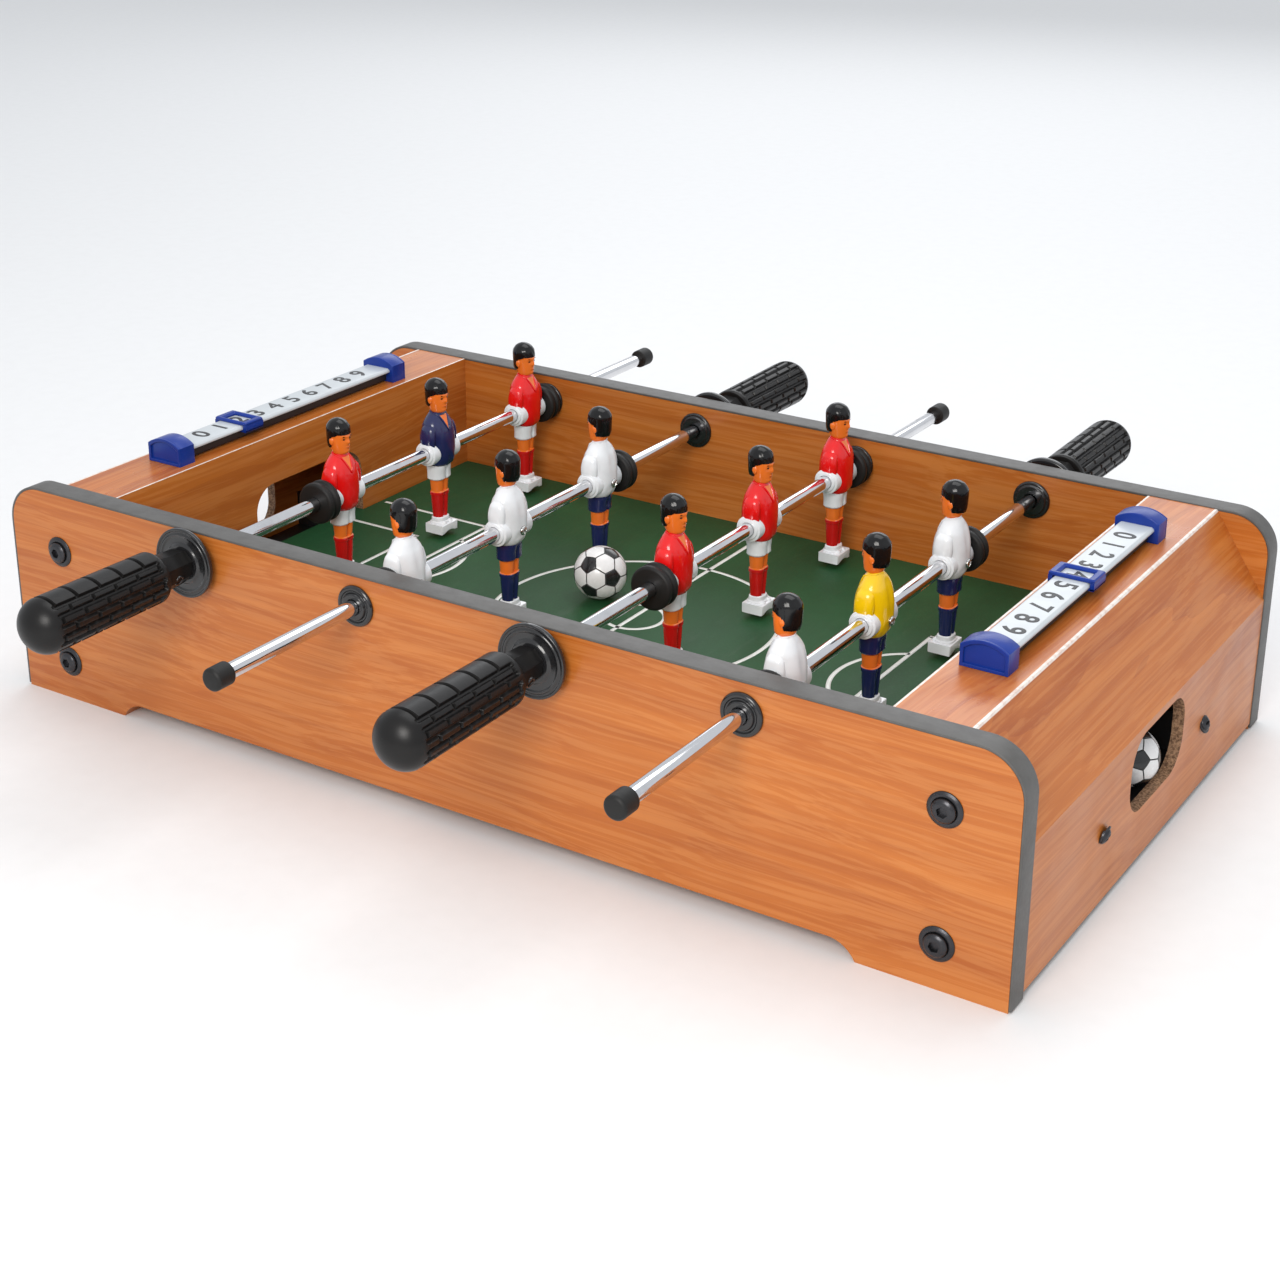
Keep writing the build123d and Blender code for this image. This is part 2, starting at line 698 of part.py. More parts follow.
def player_screw():
    """The small screw that pins a player to the rod from behind."""
    with BuildPart() as screw:
        with BuildSketch(Plane.YZ.offset(PIN_SEAT)):
            Circle(PIN_RADIUS)
        extrude(amount=-PIN_SEAT - PIN_RADIUS)
        with BuildSketch(Plane.YZ.offset(PIN_SEAT)):
            Circle(PIN_HEAD)
        extrude(amount=-PIN_HEAD_HEIGHT)
    return screw.part


def set_screw():
    """The grub screw that holds the handle on the rod."""
    with BuildPart() as screw:
        with BuildSketch(Plane.YZ.offset(-ROD_RADIUS)):
            with Locations((NECK_START - SET_SCREW_INSET, 0)):
                Circle(SET_SCREW_RADIUS)
        extrude(amount=ROD_RADIUS - NECK_RADIUS + SET_SCREW_SUNK)
    return screw.part


def rod_nodes():
    """Every piece of one rod about its own axis: name, list of solids."""
    bumpers = [bumper(), half_turn(bumper())]
    return {
        "tube": [rod_tube()],
        "handle": [grip()],
        "guard": [guard()],
        "end_cap": [end_cap()],
        "bumpers": bumpers,
        "players": [Pos(0, y, 0) * player() for y in PLAYER_Y],
        "screws": [Pos(0, y, 0) * player_screw() for y in PLAYER_Y] + [set_screw()],
    }


def both_ends(shapes):
    """The given pieces at the +X end and their copies at the -X end."""
    return shapes + [half_turn(shape) for shape in shapes]


def main():
    """Make every piece and write it."""
    os.makedirs("parts", exist_ok=True)
    for side, face in FACES:
        save(side_panel(side), f"side_panel_{face}")
        save(edge_band(side), f"edge_band_{face}")
    save(playfield_board(), "playfield_board")

    end_pieces = {
        "goal_wall": goal_wall(),
        "ledge_board": ledge_board(),
        "slope_board": folded_board(2),
        "end_board": end_board(),
        "ball_tray": ball_tray(),
    }
    for name, piece in end_pieces.items():
        save(piece, f"{name}_right")
        save(half_turn(piece), f"{name}_left")

    bolt_places = [(BOLT_X, z) for z in BOLT_Z]
    washers = [Pos(x, OUTER_Y, z) * bolt_washer() for x, z in bolt_places]
    bolts = [Pos(x, OUTER_Y + WASHER_THICKNESS, z) * panel_bolt() for x, z in bolt_places]
    nuts = [Pos(x, INNER_Y - NUT_INSET, z) * barrel_nut() for x, z in bolt_places]
    for name, shapes in {"bolt_washers": washers, "panel_bolts": bolts, "barrel_nuts": nuts}.items():
        corners = shapes + [mirror(shape, about=Plane.XZ) for shape in shapes]
        save(Compound(children=both_ends(corners)), name)
    save(Compound(children=both_ends([end_block(-1), end_block(1)])), "end_blocks")
    screws = [Pos(END_X, y, SCREW_Z) * end_screw() for y in (-SCREW_Y, SCREW_Y)]
    save(Compound(children=both_ends(screws)), "end_board_screws")

    blocks = [rail_block(), mirror(rail_block(), about=Plane.XZ)]
    save(Compound(children=both_ends(blocks)), "score_blocks")
    save(Compound(children=both_ends([score_bar()])), "score_bars")
    save(score_slider(SCORE_RIGHT_Y), "score_slider_right")
    save(half_turn(score_slider(-SCORE_LEFT_Y)), "score_slider_left")

    halves = {"bushing_flanges": bushing_flange(), "bushing_nuts": bushing_nut()}
    for name, half in halves.items():
        row = [Pos(x, 0, ROD_Z) * half for x in ROD_XS]
        save(Compound(children=row + [half_turn(shape) for shape in row]), name)

    save(ball((*PITCH_BALL, FIELD_TOP + BALL_RADIUS + BALL_GAP)), "pitch_ball")
    save(ball((RETURN_BALL_X, RETURN_BALL_Y, RETURN_BALL_Z)), "return_ball")

    for number, x in enumerate(ROD_XS, start=1):
        facing = 1 if number % 2 else -1
        place = Pos(x, facing * REST_SHIFT, ROD_Z) * Rot(0, 0, 0 if facing > 0 else 180)
        for name, solids in rod_nodes().items():
            placed = [place * solid for solid in solids]
            save(placed[0] if len(placed) == 1 else Compound(children=placed), f"rod_{number}_{name}")
        bearing = [Pos(x, 0, ROD_Z) * sleeve(), Pos(x, 0, ROD_Z) * half_turn(sleeve())]
        save(Compound(children=bearing), f"rod_{number}_sleeves")


main()
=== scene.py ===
"""Looks of the tabletop foosball table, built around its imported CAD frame.

X runs from goal to goal, Y along the rods and Z up. The CAD frame is in metres; the sizes in
the classes below are in millimetres. Each sub-assembly is a class that builds and dresses its
own pieces, and each finish is a small class that makes one material.
"""

import logging
import math
from dataclasses import dataclass
from enum import Enum
from typing import Callable, Iterable, Sequence

import bmesh
import bpy
import numpy as np
from mathutils import Matrix, Vector


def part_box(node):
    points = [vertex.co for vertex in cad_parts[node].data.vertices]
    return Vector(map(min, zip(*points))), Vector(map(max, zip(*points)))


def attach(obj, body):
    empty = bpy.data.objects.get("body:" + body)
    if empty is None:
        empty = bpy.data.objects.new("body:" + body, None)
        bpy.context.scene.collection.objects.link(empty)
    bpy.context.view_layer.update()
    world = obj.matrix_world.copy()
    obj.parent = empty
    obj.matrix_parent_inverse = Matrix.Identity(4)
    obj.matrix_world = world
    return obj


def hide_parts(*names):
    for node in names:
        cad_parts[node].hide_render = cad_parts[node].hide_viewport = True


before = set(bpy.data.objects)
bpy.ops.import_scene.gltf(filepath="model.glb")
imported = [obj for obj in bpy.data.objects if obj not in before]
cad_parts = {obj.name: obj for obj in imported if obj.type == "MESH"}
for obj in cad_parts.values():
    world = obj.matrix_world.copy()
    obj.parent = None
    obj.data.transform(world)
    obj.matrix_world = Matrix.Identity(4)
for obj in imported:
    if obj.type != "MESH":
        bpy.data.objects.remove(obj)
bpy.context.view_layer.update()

MM = 0.001
TURN = 2 * math.pi
LOG = logging.getLogger("foosball_table")

Colour = tuple[float, float, float]
Point = tuple[float, float, float]
Profile = Sequence[tuple[float, float]]
Socket = bpy.types.NodeSocket


class Axis(Enum):
    """A direction that wood grain or brushing follows."""

    X = 0
    Y = 1
    Z = 2


# ---------------------------------------------------------------------------------- nodes
def put_in_scene(made: bpy.types.Object) -> None:
    """Link an object to the scene."""
    bpy.context.scene.collection.objects.link(made)


class Graph:
    """Adds and wires nodes in one shader or geometry tree."""

    def __init__(self, tree: bpy.types.NodeTree) -> None:
        """Keep the tree.

        Args:
            tree: the tree that gets the nodes.
        """
        self.tree = tree

    def add(self, kind: str, sockets: dict | None = None, **settings: object) -> bpy.types.Node:
        """Add one node.

        Args:
            kind: the node's type, without its shader or geometry prefix where it is a shader node.
            sockets: input name or index to a value or to an output socket.
            settings: properties of the node itself.

        Returns:
            The new node.
        """
        node = self.tree.nodes.new(kind if "Node" in kind else "ShaderNode" + kind)
        for key, value in settings.items():
            setattr(node, key, value)
        for key, value in (sockets or {}).items():
            if isinstance(value, Socket):
                self.tree.links.new(value, node.inputs[key])
            else:
                node.inputs[key].default_value = value
        return node

    def math(self, operation: str, *values: object, clamp: bool = False) -> Socket:
        """Add a Math node and give its result."""
        node = self.add("Math", dict(enumerate(values)), operation=operation, use_clamp=clamp)
        return node.outputs[0]

    def mix(self, factor: object, low: object, high: object) -> Socket:
        """Mix two colours and give the result."""
        sockets = {0: factor, 6: low, 7: high}
        return self.add("Mix", sockets, data_type="RGBA").outputs[2]

    def steps(self, value: object, low: float, high: float, start: float = 0.0, end: float = 1.0) -> Socket:
        """Map a value smoothly from one range to another and give the result."""
        sockets = {"Value": value, "From Min": low, "From Max": high, "To Min": start, "To Max": end}
        return self.add("MapRange", sockets, interpolation_type="SMOOTHSTEP").outputs[0]

    def stretched(self, scale: Sequence[float], vector: object) -> Socket:
        """Scale a vector by axis and give the result."""
        return self.add("VectorMath", {0: vector, 1: tuple(scale)}, operation="MULTIPLY").outputs[0]

    def noise(
        self, vector: object, scale: object, detail: float = 3.0, rough: float = 0.55, seed: object = 0.0
    ) -> Socket:
        """Add 4D noise with a seed of its own and give its value."""
        sockets = {"Vector": vector, "W": seed, "Scale": scale, "Detail": detail, "Roughness": rough}
        return self.add("TexNoise", sockets, noise_dimensions="4D").outputs[0]


def shader_group(
    name: str, inputs: dict, outputs: dict
) -> tuple[bpy.types.NodeTree, Graph, bpy.types.Node, bpy.types.Node]:
    """Start a shader node group with named sockets.

    Args:
        name: the group's name.
        inputs: input name to (socket type, default value or None).
        outputs: output name to socket type.

    Returns:
        The tree, its graph, its input node and its output node.
    """
    tree = bpy.data.node_groups.new(name, "ShaderNodeTree")
    for label, (kind, value) in inputs.items():
        socket = tree.interface.new_socket(label, in_out="INPUT", socket_type=kind)
        if value is not None:
            socket.default_value = value
    for label, kind in outputs.items():
        tree.interface.new_socket(label, in_out="OUTPUT", socket_type=kind)
    graph = Graph(tree)
    return tree, graph, graph.add("NodeGroupInput"), graph.add("NodeGroupOutput")


def rgba(colour: Colour) -> tuple[float, float, float, float]:
    """A colour with full alpha."""
    return (*colour, 1.0)


def wood_grain_group() -> bpy.types.NodeTree:
    """Printed wood grain along local X: long streaks, arched figure and fine pores.

    Returns:
        The node group, with Color, Roughness and Height outputs.
    """
    colour, number, vector = "NodeSocketColor", "NodeSocketFloat", "NodeSocketVector"
    tree, g, start, end = shader_group(
        "wood_grain",
        {
            "Vector": (vector, None),
            "Light": (colour, rgba((0.6, 0.3, 0.1))),
            "Dark": (colour, rgba((0.3, 0.12, 0.03))),
            "Seed": (number, 0.0),
            "Figure": (number, 0.5),
            "Gloss": (number, 0.35),
        },
        {"Color": colour, "Roughness": number, "Height": number},
    )
    place, seed = start.outputs["Vector"], start.outputs["Seed"]
    sway = g.noise(g.stretched((5, 16, 16), place), 1.0, 2.0, 0.5)
    drift = g.add("CombineXYZ", {1: g.math("MULTIPLY", sway, 0.03), 2: g.math("MULTIPLY", sway, 0.022)})
    bent = g.add("VectorMath", {0: place, 1: drift.outputs[0]}, operation="ADD").outputs[0]
    streak = g.noise(g.stretched((2.2, 110, 110), bent), 1.0, 5.0, 0.62, seed)
    hair = g.noise(g.stretched((7, 520, 520), bent), 1.0, 3.0, 0.6, seed)
    wide = g.noise(g.stretched((1.4, 14, 14), bent), 1.0, 2.0, 0.5, seed)
    rings = {
        "Vector": g.stretched((1.0, 9, 9), bent),
        "Scale": 3.2,
        "Distortion": 5.0,
        "Detail": 3.0,
        "Detail Scale": 1.4,
        "Detail Roughness": 0.55,
    }
    arch = g.add(
        "TexWave", rings, wave_type="RINGS", rings_direction="X", wave_profile="SAW"
    ).outputs["Fac"]
    arched = g.math("MULTIPLY", g.steps(arch, 0.55, 1.0), start.outputs["Figure"])
    shade = g.math(
        "ADD",
        g.math("MULTIPLY", g.steps(streak, 0.3, 0.72), 0.55),
        g.math("MULTIPLY", g.steps(wide, 0.3, 0.7), 0.3),
    )
    shade = g.math("SUBTRACT", shade, g.math("MULTIPLY", arched, 0.42))
    shade = g.math("ADD", shade, 0.14, clamp=True)
    tone = g.mix(shade, start.outputs["Dark"], start.outputs["Light"])
    pores = g.math("MULTIPLY", g.steps(hair, 0.6, 0.74), g.steps(streak, 0.65, 0.4))
    line = g.steps(hair, 0.56, 0.42, 0.0, 0.12)
    tone = g.mix(g.math("MULTIPLY", pores, 0.32), tone, start.outputs["Dark"])
    tone = g.mix(line, tone, rgba((0.92, 0.46, 0.16)))
    smudge = g.noise(place, 28.0, 3.0, 0.6, 7.0)
    gloss = g.math("ADD", start.outputs["Gloss"], g.steps(smudge, 0.35, 0.7, -0.04, 0.07))
    gloss = g.math("ADD", gloss, g.math("MULTIPLY", pores, 0.12))
    height = g.math("SUBTRACT", g.math("MULTIPLY", hair, 0.5), g.math("MULTIPLY", pores, 0.6))
    for label, value in (("Color", tone), ("Roughness", gloss), ("Height", height)):
        g.tree.links.new(value, end.inputs[label])
    return tree


def fibre_group() -> bpy.types.NodeTree:
    """Pressed fibreboard, as a cut edge shows it.

    Returns:
        The node group, with Color and Height outputs.
    """
    colour = "NodeSocketColor"
    sockets = {"Vector": ("NodeSocketVector", None)}
    tree, g, start, end = shader_group(
        "pressed_fibre", sockets, {"Color": colour, "Height": "NodeSocketFloat"}
    )
    coarse = g.noise(start.outputs["Vector"], 900.0, 4.0, 0.7, 2.0)
    fine = g.noise(start.outputs["Vector"], 3200.0, 2.0, 0.6, 5.0)
    tone = g.mix(g.steps(coarse, 0.36, 0.66), rgba((0.10, 0.045, 0.02)), rgba((0.42, 0.24, 0.13)))
    tone = g.mix(g.steps(fine, 0.6, 0.75, 0.0, 0.5), tone, rgba((0.62, 0.42, 0.27)))
    g.tree.links.new(tone, end.inputs["Color"])
    g.tree.links.new(coarse, end.inputs["Height"])
    return tree


def moulded_group() -> bpy.types.NodeTree:
    """Moulded or painted surface: faint cloudiness, handling marks and dust specks.

    Returns:
        The node group, with Color, Roughness and Height outputs.
    """
    colour, number = "NodeSocketColor", "NodeSocketFloat"
    tree, g, start, end = shader_group(
        "moulded_surface",
        {
            "Vector": ("NodeSocketVector", None),
            "Color": (colour, rgba((0.5, 0.5, 0.5))),
            "Cloud": (number, 0.1),
            "Roughness": (number, 0.3),
            "Marks": (number, 0.08),
            "Grain": (number, 900.0),
        },
        {"Color": colour, "Roughness": number, "Height": number},
    )
    place = start.outputs["Vector"]
    cloud = g.noise(place, 95.0, 3.0, 0.55, 1.0)
    marks = g.noise(g.stretched((1.0, 2.6, 1.7), place), 240.0, 4.0, 0.65, 3.0)
    grain = g.noise(place, start.outputs["Grain"], 2.0, 0.6, 4.0)
    darker = g.mix(1.0, start.outputs["Color"], rgba((0.62, 0.6, 0.58)))
    darker.node.blend_type = "MULTIPLY"
    share = g.math("MULTIPLY", g.steps(cloud, 0.35, 0.72), start.outputs["Cloud"])
    tone = g.mix(share, start.outputs["Color"], darker)
    dust = g.math("MULTIPLY", g.steps(grain, 0.74, 0.82), start.outputs["Cloud"])
    tone = g.mix(g.math("MULTIPLY", dust, 0.6), tone, rgba((0.6, 0.57, 0.53)))
    gloss = g.math(
        "ADD",
        start.outputs["Roughness"],
        g.math("MULTIPLY", g.math("SUBTRACT", marks, 0.45), start.outputs["Marks"]),
    )
    for label, value in (("Color", tone), ("Roughness", gloss), ("Height", grain)):
        g.tree.links.new(value, end.inputs[label])
    return tree


class Groups:
    """The shader node groups that several finishes share, each built once."""

    _made: dict[str, bpy.types.NodeTree] = {}
    _makers: dict[str, Callable[[], bpy.types.NodeTree]] = {
        "wood": wood_grain_group,
        "fibre": fibre_group,
        "moulded": moulded_group,
    }

    @classmethod
    def get(cls, key: str) -> bpy.types.NodeTree:
        """The named group, built on its first use.

        Args:
            key: the group's key in the makers.

        Returns:
            The node group.
        """
        if key not in cls._made:
            cls._made[key] = cls._makers[key]()
        return cls._made[key]


# -------------------------------------------------------------------------------- finishes
@dataclass(frozen=True)
class Finish:
    """A named finish that can make its material.

    Attributes:
        name: the material's name.
        slot: the record's material slot that it belongs to.
    """

    name: str
    slot: str

    def material(self) -> bpy.types.Material:
        """The material, made on its first use.

        Returns:
            The material.
        """
        label = f"{self.name}_finish"
        found = bpy.data.materials.get(label)
        if found is None:
            found = bpy.data.materials.new(label)
            found.use_nodes = True
            graph = Graph(found.node_tree)
            self.paint(graph, found.node_tree.nodes["Principled BSDF"])
        return found

    def paint(self, g: Graph, shader: bpy.types.Node) -> None:
        """Wire the finish's nodes into the material's shader."""
        raise NotImplementedError

    @staticmethod
    def place(g: Graph) -> Socket:
        """The piece's own coordinates in metres."""
        return g.add("TexCoord").outputs["Object"]

    @staticmethod
    def bump(g: Graph, shader: bpy.types.Node, height: Socket, strength: float, distance: float) -> None:
        """Wire a height into the shader's normal."""
        node = g.add("Bump", {"Height": height, "Strength": strength, "Distance": distance})
        g.tree.links.new(node.outputs[0], shader.inputs["Normal"])


@dataclass(frozen=True)
class Moulded(Finish):
    """Moulded plastic, rubber or smooth paint.

    Attributes:
        colour: base colour, linear.
        rough: roughness.
        cloud: how much the colour clouds over.
        marks: how much handling changes the roughness.
        grain: scale of the surface grain, per metre.
        relief: depth of the grain in metres.
        coat: weight of a clear coat.
        shine: level of the plain reflection.
    """

    colour: Colour
    rough: float = 0.3
    cloud: float = 0.25
    marks: float = 0.12
    grain: float = 900.0
    relief: float = 0.00004
    coat: float = 0.0
    shine: float = 0.5

    def paint(self, g: Graph, shader: bpy.types.Node) -> None:
        """Wire the moulded surface group.

        Args:
            g: the material's graph.
            shader: its Principled shader.
        """
        surface = g.add("Group", node_tree=Groups.get("moulded"))
        g.tree.links.new(self.place(g), surface.inputs["Vector"])
        for label, value in (
            ("Color", rgba(self.colour)), ("Cloud", self.cloud), ("Roughness", self.rough),
            ("Marks", self.marks), ("Grain", self.grain),
        ):
            surface.inputs[label].default_value = value
        g.tree.links.new(surface.outputs["Color"], shader.inputs["Base Color"])
        g.tree.links.new(surface.outputs["Roughness"], shader.inputs["Roughness"])
        shader.inputs["Coat Weight"].default_value = self.coat
        shader.inputs["Coat Roughness"].default_value = 0.08
        shader.inputs["Specular IOR Level"].default_value = self.shine
        self.bump(g, shader, surface.outputs["Height"], 0.35, self.relief)


@dataclass(frozen=True)
class Metal(Finish):
    """Bright or dark metal with fine lines along one axis.

    Attributes:
        colour: base colour, linear.
        rough: roughness.
        lines: axis that the drawing or turning lines follow.
        metallic: metallic share.
    """

    colour: Colour
    rough: float = 0.15
    lines: Axis = Axis.Y
    metallic: float = 1.0

    def paint(self, g: Graph, shader: bpy.types.Node) -> None:
        """Wire drawn lines and smudges.

        Args:
            g: the material's graph.
            shader: its Principled shader.
        """
        scale = [1500.0, 1500.0, 1500.0]
        scale[self.lines.value] = 18.0
        place = self.place(g)
        drawn = g.noise(g.stretched(scale, place), 1.0, 3.0, 0.6, 1.0)
        smudge = g.noise(place, 60.0, 4.0, 0.6, 2.0)
        dark = tuple(c * 0.78 for c in self.colour)
        tone = g.mix(g.steps(smudge, 0.45, 0.75, 0.0, 0.6), rgba(self.colour), rgba(dark))
        gloss = g.math(
            "ADD",
            g.steps(drawn, 0.3, 0.7, self.rough * 0.8, self.rough * 1.25),
            g.steps(smudge, 0.45, 0.75, 0.0, 0.06),
        )
        g.tree.links.new(tone, shader.inputs["Base Color"])
        g.tree.links.new(gloss, shader.inputs["Roughness"])
        shader.inputs["Metallic"].default_value = self.metallic
        self.bump(g, shader, drawn, 0.2, 0.00001)


@dataclass(frozen=True)
class WoodPrint(Finish):
    """Wood-print laminate on fibreboard, with the core showing on cut edges.

    Attributes:
        light: colour of the light grain, linear.
        dark: colour of the dark grain, linear.
        grain: axis that the grain follows.
        face: axis that the board's faces point along, or None where no cut edge shows.
        seed: which part of the print it is.
        figure: strength of the arched figure.
        gloss: roughness.
        folds: |x| of the folds that get painted highlight lines, in millimetres, with their widths.
    """

    light: Colour
    dark: Colour
    grain: Axis = Axis.X
    face: Axis | None = None
    seed: float = 0.0
    figure: float = 0.5
    gloss: float = 0.34
    folds: tuple[tuple[float, float], ...] = ()

    def paint(self, g: Graph, shader: bpy.types.Node) -> None:
        """Wire the grain, the painted highlight lines at the folds and the core.

        Args:
            g: the material's graph.
            shader: its Principled shader.
        """
        place = self.place(g)
        apart = g.add("SeparateXYZ", {0: place})
        order = [0, 1, 2] if self.grain is Axis.X else [1, 0, 2]
        along = g.add("CombineXYZ", {i: apart.outputs[k] for i, k in enumerate(order)}).outputs[0]
        wood = g.add("Group", node_tree=Groups.get("wood"))
        g.tree.links.new(along, wood.inputs["Vector"])
        for label, value in (
            ("Light", rgba(self.light)), ("Dark", rgba(self.dark)), ("Seed", self.seed),
            ("Figure", self.figure), ("Gloss", self.gloss),
        ):
            wood.inputs[label].default_value = value
        tone, gloss, height = wood.outputs["Color"], wood.outputs["Roughness"], wood.outputs["Height"]
        side = g.math("ABSOLUTE", apart.outputs[0])
        # Painted highlight: pale lines along the board's folds, where the edges catch the light, broken up
        # by noise.
        for fold, width in self.folds:
            away = g.math("ABSOLUTE", g.math("SUBTRACT", side, fold * MM))
            line = g.steps(away, width * MM, width * 0.55 * MM)
            highlight_strength = g.steps(g.noise(place, 260.0, 3.0, 0.6, 9.0), 0.3, 0.6, 0.55, 1.0)
            tone = g.mix(g.math("MULTIPLY", line, highlight_strength), tone, rgba((0.80, 0.74, 0.68)))
        if self.face is not None:
            core = g.add("Group", node_tree=Groups.get("fibre"))
            g.tree.links.new(place, core.inputs["Vector"])
            normal = g.add("SeparateXYZ", {0: g.add("NewGeometry").outputs["True Normal"]})
            cut = g.steps(g.math("ABSOLUTE", normal.outputs[self.face.value]), 0.6, 0.4)
            tone = g.mix(cut, tone, core.outputs["Color"])
            gloss = g.math("ADD", gloss, g.math("MULTIPLY", cut, 0.4))
            height = g.math(
                "ADD", height, g.math("MULTIPLY", cut, g.math("MULTIPLY", core.outputs["Height"], 4.0))
            )
        g.tree.links.new(tone, shader.inputs["Base Color"])
        g.tree.links.new(gloss, shader.inputs["Roughness"])
        self.bump(g, shader, height, 0.25, 0.00006)


@dataclass(frozen=True)
class PitchPrint(Finish):
    """The green print of the playfield, faintly mottled, with ball tracks.

    Attributes:
        colour: the green, linear.
    """

    colour: Colour

    def paint(self, g: Graph, shader: bpy.types.Node) -> None:
        """Wire the mottle, tracks and fibre texture.

        Args:
            g: the material's graph.
            shader: its Principled shader.
        """
        place = self.place(g)
        mottle = g.noise(place, 18.0, 4.0, 0.6, 1.0)
        weave = g.noise(place, 1400.0, 2.0, 0.6, 2.0)
        tracks = g.noise(g.stretched((30, 7, 1), place), 3.0, 4.0, 0.7, 4.0)
        dark = tuple(c * 0.72 for c in self.colour)
        pale = tuple(c * 1.35 + 0.004 for c in self.colour)
        tone = g.mix(g.steps(mottle, 0.3, 0.7), rgba(dark), rgba(self.colour))
        tone = g.mix(g.steps(weave, 0.45, 0.75, 0.0, 0.6), tone, rgba(pale))
        tone = g.mix(g.steps(tracks, 0.66, 0.78, 0.0, 0.2), tone, rgba(pale))
        g.tree.links.new(tone, shader.inputs["Base Color"])
        gloss = g.math("ADD", g.steps(tracks, 0.5, 0.8, 0.5, 0.38), g.math("MULTIPLY", weave, 0.08))
        g.tree.links.new(gloss, shader.inputs["Roughness"])
        shader.inputs["Specular IOR Level"].default_value = 0.28
        self.bump(g, shader, weave, 0.3, 0.00003)


ORANGE_LIGHT = (0.555, 0.168, 0.024)
ORANGE_DARK = (0.36, 0.084, 0.009)
PANEL_WOOD = WoodPrint("panel_wood", "wood_print", ORANGE_LIGHT, ORANGE_DARK, Axis.X, None, 1.0, 0.35)
GOAL_WOOD = WoodPrint("goal_wall_wood", "wood_print", ORANGE_LIGHT, ORANGE_DARK, Axis.Y, Axis.X, 4.0, 0.5)
# The ledge and slope boards carry painted highlight lines at their folds, set by the last tuple.
LEDGE_WOOD = WoodPrint(
    "ledge_wood", "wood_print", ORANGE_LIGHT, ORANGE_DARK, Axis.Y, None, 6.0, 0.75, 0.3,
    ((195.9, 0.7), (227.6, 0.9)),
)
SLOPE_WOOD = WoodPrint(
    "slope_wood", "wood_print", ORANGE_LIGHT, ORANGE_DARK, Axis.Y, None, 8.0, 0.75, 0.32, ((228.2, 0.5),)
)
END_WOOD = WoodPrint(
    "end_board_wood", "wood_print", ORANGE_LIGHT, ORANGE_DARK, Axis.Y, Axis.X, 11.0, 0.45, 0.34
)
BLOCK_WOOD = WoodPrint(
    "block_wood", "wood_block", (0.55, 0.38, 0.20), (0.36, 0.22, 0.10), Axis.Y, None, 14.0, 0.3, 0.7
)
PITCH_GREEN = PitchPrint("pitch_green", "pitch_green", (0.014, 0.076, 0.025))
LINE_WHITE = Moulded("line_white", "pitch_green", (0.80, 0.82, 0.78), 0.42, 0.3, 0.1, 1400.0, 0.00002)
EDGE_GREY = Moulded(
    "edge_grey", "edge_grey", (0.105, 0.102, 0.098), 0.46, 0.5, 0.3, 1500.0, 0.00006, 0.0, 0.35
)
TRAY_BLACK = Moulded("tray_black", "tray_black", (0.012, 0.012, 0.013), 0.5, 0.5, 0.2, 1100.0, 0.00006)
GLOSS_BLACK = Moulded(
    "gloss_black", "gloss_black", (0.012, 0.012, 0.013), 0.2, 0.4, 0.14, 700.0, 0.00002, 0.3
)
GRIP_BLACK = Moulded(
    "grip_black", "grip_black", (0.0075, 0.0068, 0.0066), 0.34, 0.4, 0.16, 1700.0, 0.00006, 0.0, 0.28
)
RUBBER_BLACK = Moulded(
    "rubber_black", "rubber_black", (0.012, 0.0115, 0.011), 0.5, 0.5, 0.2, 1500.0, 0.00008, 0.0, 0.3
)
NYLON_BLACK = Moulded("nylon_black", "nylon_black", (0.014, 0.014, 0.015), 0.4, 0.4, 0.2)
STEEL_BLACK = Metal("steel_black", "steel_black", (0.055, 0.055, 0.06), 0.3, Axis.Y, 0.85)
STEEL_ZINC = Metal("steel_zinc", "steel_zinc", (0.62, 0.62, 0.60), 0.22, Axis.X)
CHROME = Metal("chrome_tube", "chrome", (0.72, 0.72, 0.74), 0.07, Axis.Y)
WHITE_BAR = Moulded("white_bar", "white_plastic", (0.53, 0.565, 0.59), 0.3, 0.15, 0.1, 800.0, 0.00002, 0.2)
DIGIT_BLACK = Moulded("digit_black", "white_plastic", (0.015, 0.015, 0.017), 0.4, 0.2, 0.1)
BLUE_PLASTIC = Moulded(
    "blue_plastic", "blue_plastic", (0.006, 0.034, 0.26), 0.3, 0.3, 0.14, 1000.0, 0.00005, 0.05, 0.3
)
BALL_WHITE = Moulded("ball_white", "ball_white", (0.80, 0.80, 0.80), 0.26, 0.25, 0.12, 900.0, 0.00003, 0.25)
BALL_BLACK = Moulded(
    "ball_black", "ball_white", (0.012, 0.012, 0.013), 0.24, 0.3, 0.12, 900.0, 0.00003, 0.25
)
BALL_SEAM = Moulded("ball_seam", "ball_white", (0.05, 0.05, 0.05), 0.5, 0.3, 0.12)


def kit_paint(name: str, colour: Colour) -> Moulded:
    """Glossy paint of the players.

    Args:
        name: what it paints.
        colour: its colour, linear.

    Returns:
        The finish.
    """
    return Moulded(name, "player_red", colour, 0.2, 0.22, 0.12, 520.0, 0.00005, 0.35)


HAIR = Moulded(
    "hair_black", "player_red", (0.005, 0.005, 0.0055), 0.16, 0.2, 0.1, 520.0, 0.00005, 0.15, 0.3
)
SKIN = kit_paint("skin_paint", (0.90, 0.19, 0.022))
PAINT_WHITE = kit_paint("paint_white", (0.83, 0.855, 0.88))
PAINT_RED = kit_paint("paint_red", (0.78, 0.004, 0.005))
PAINT_DARK_RED = kit_paint("paint_dark_red", (0.58, 0.005, 0.006))
PAINT_NAVY = kit_paint("paint_navy", (0.012, 0.016, 0.085))
PAINT_YELLOW = kit_paint("paint_yellow", (0.92, 0.58, 0.003))
LIP = kit_paint("lip_paint", (0.50, 0.06, 0.03))


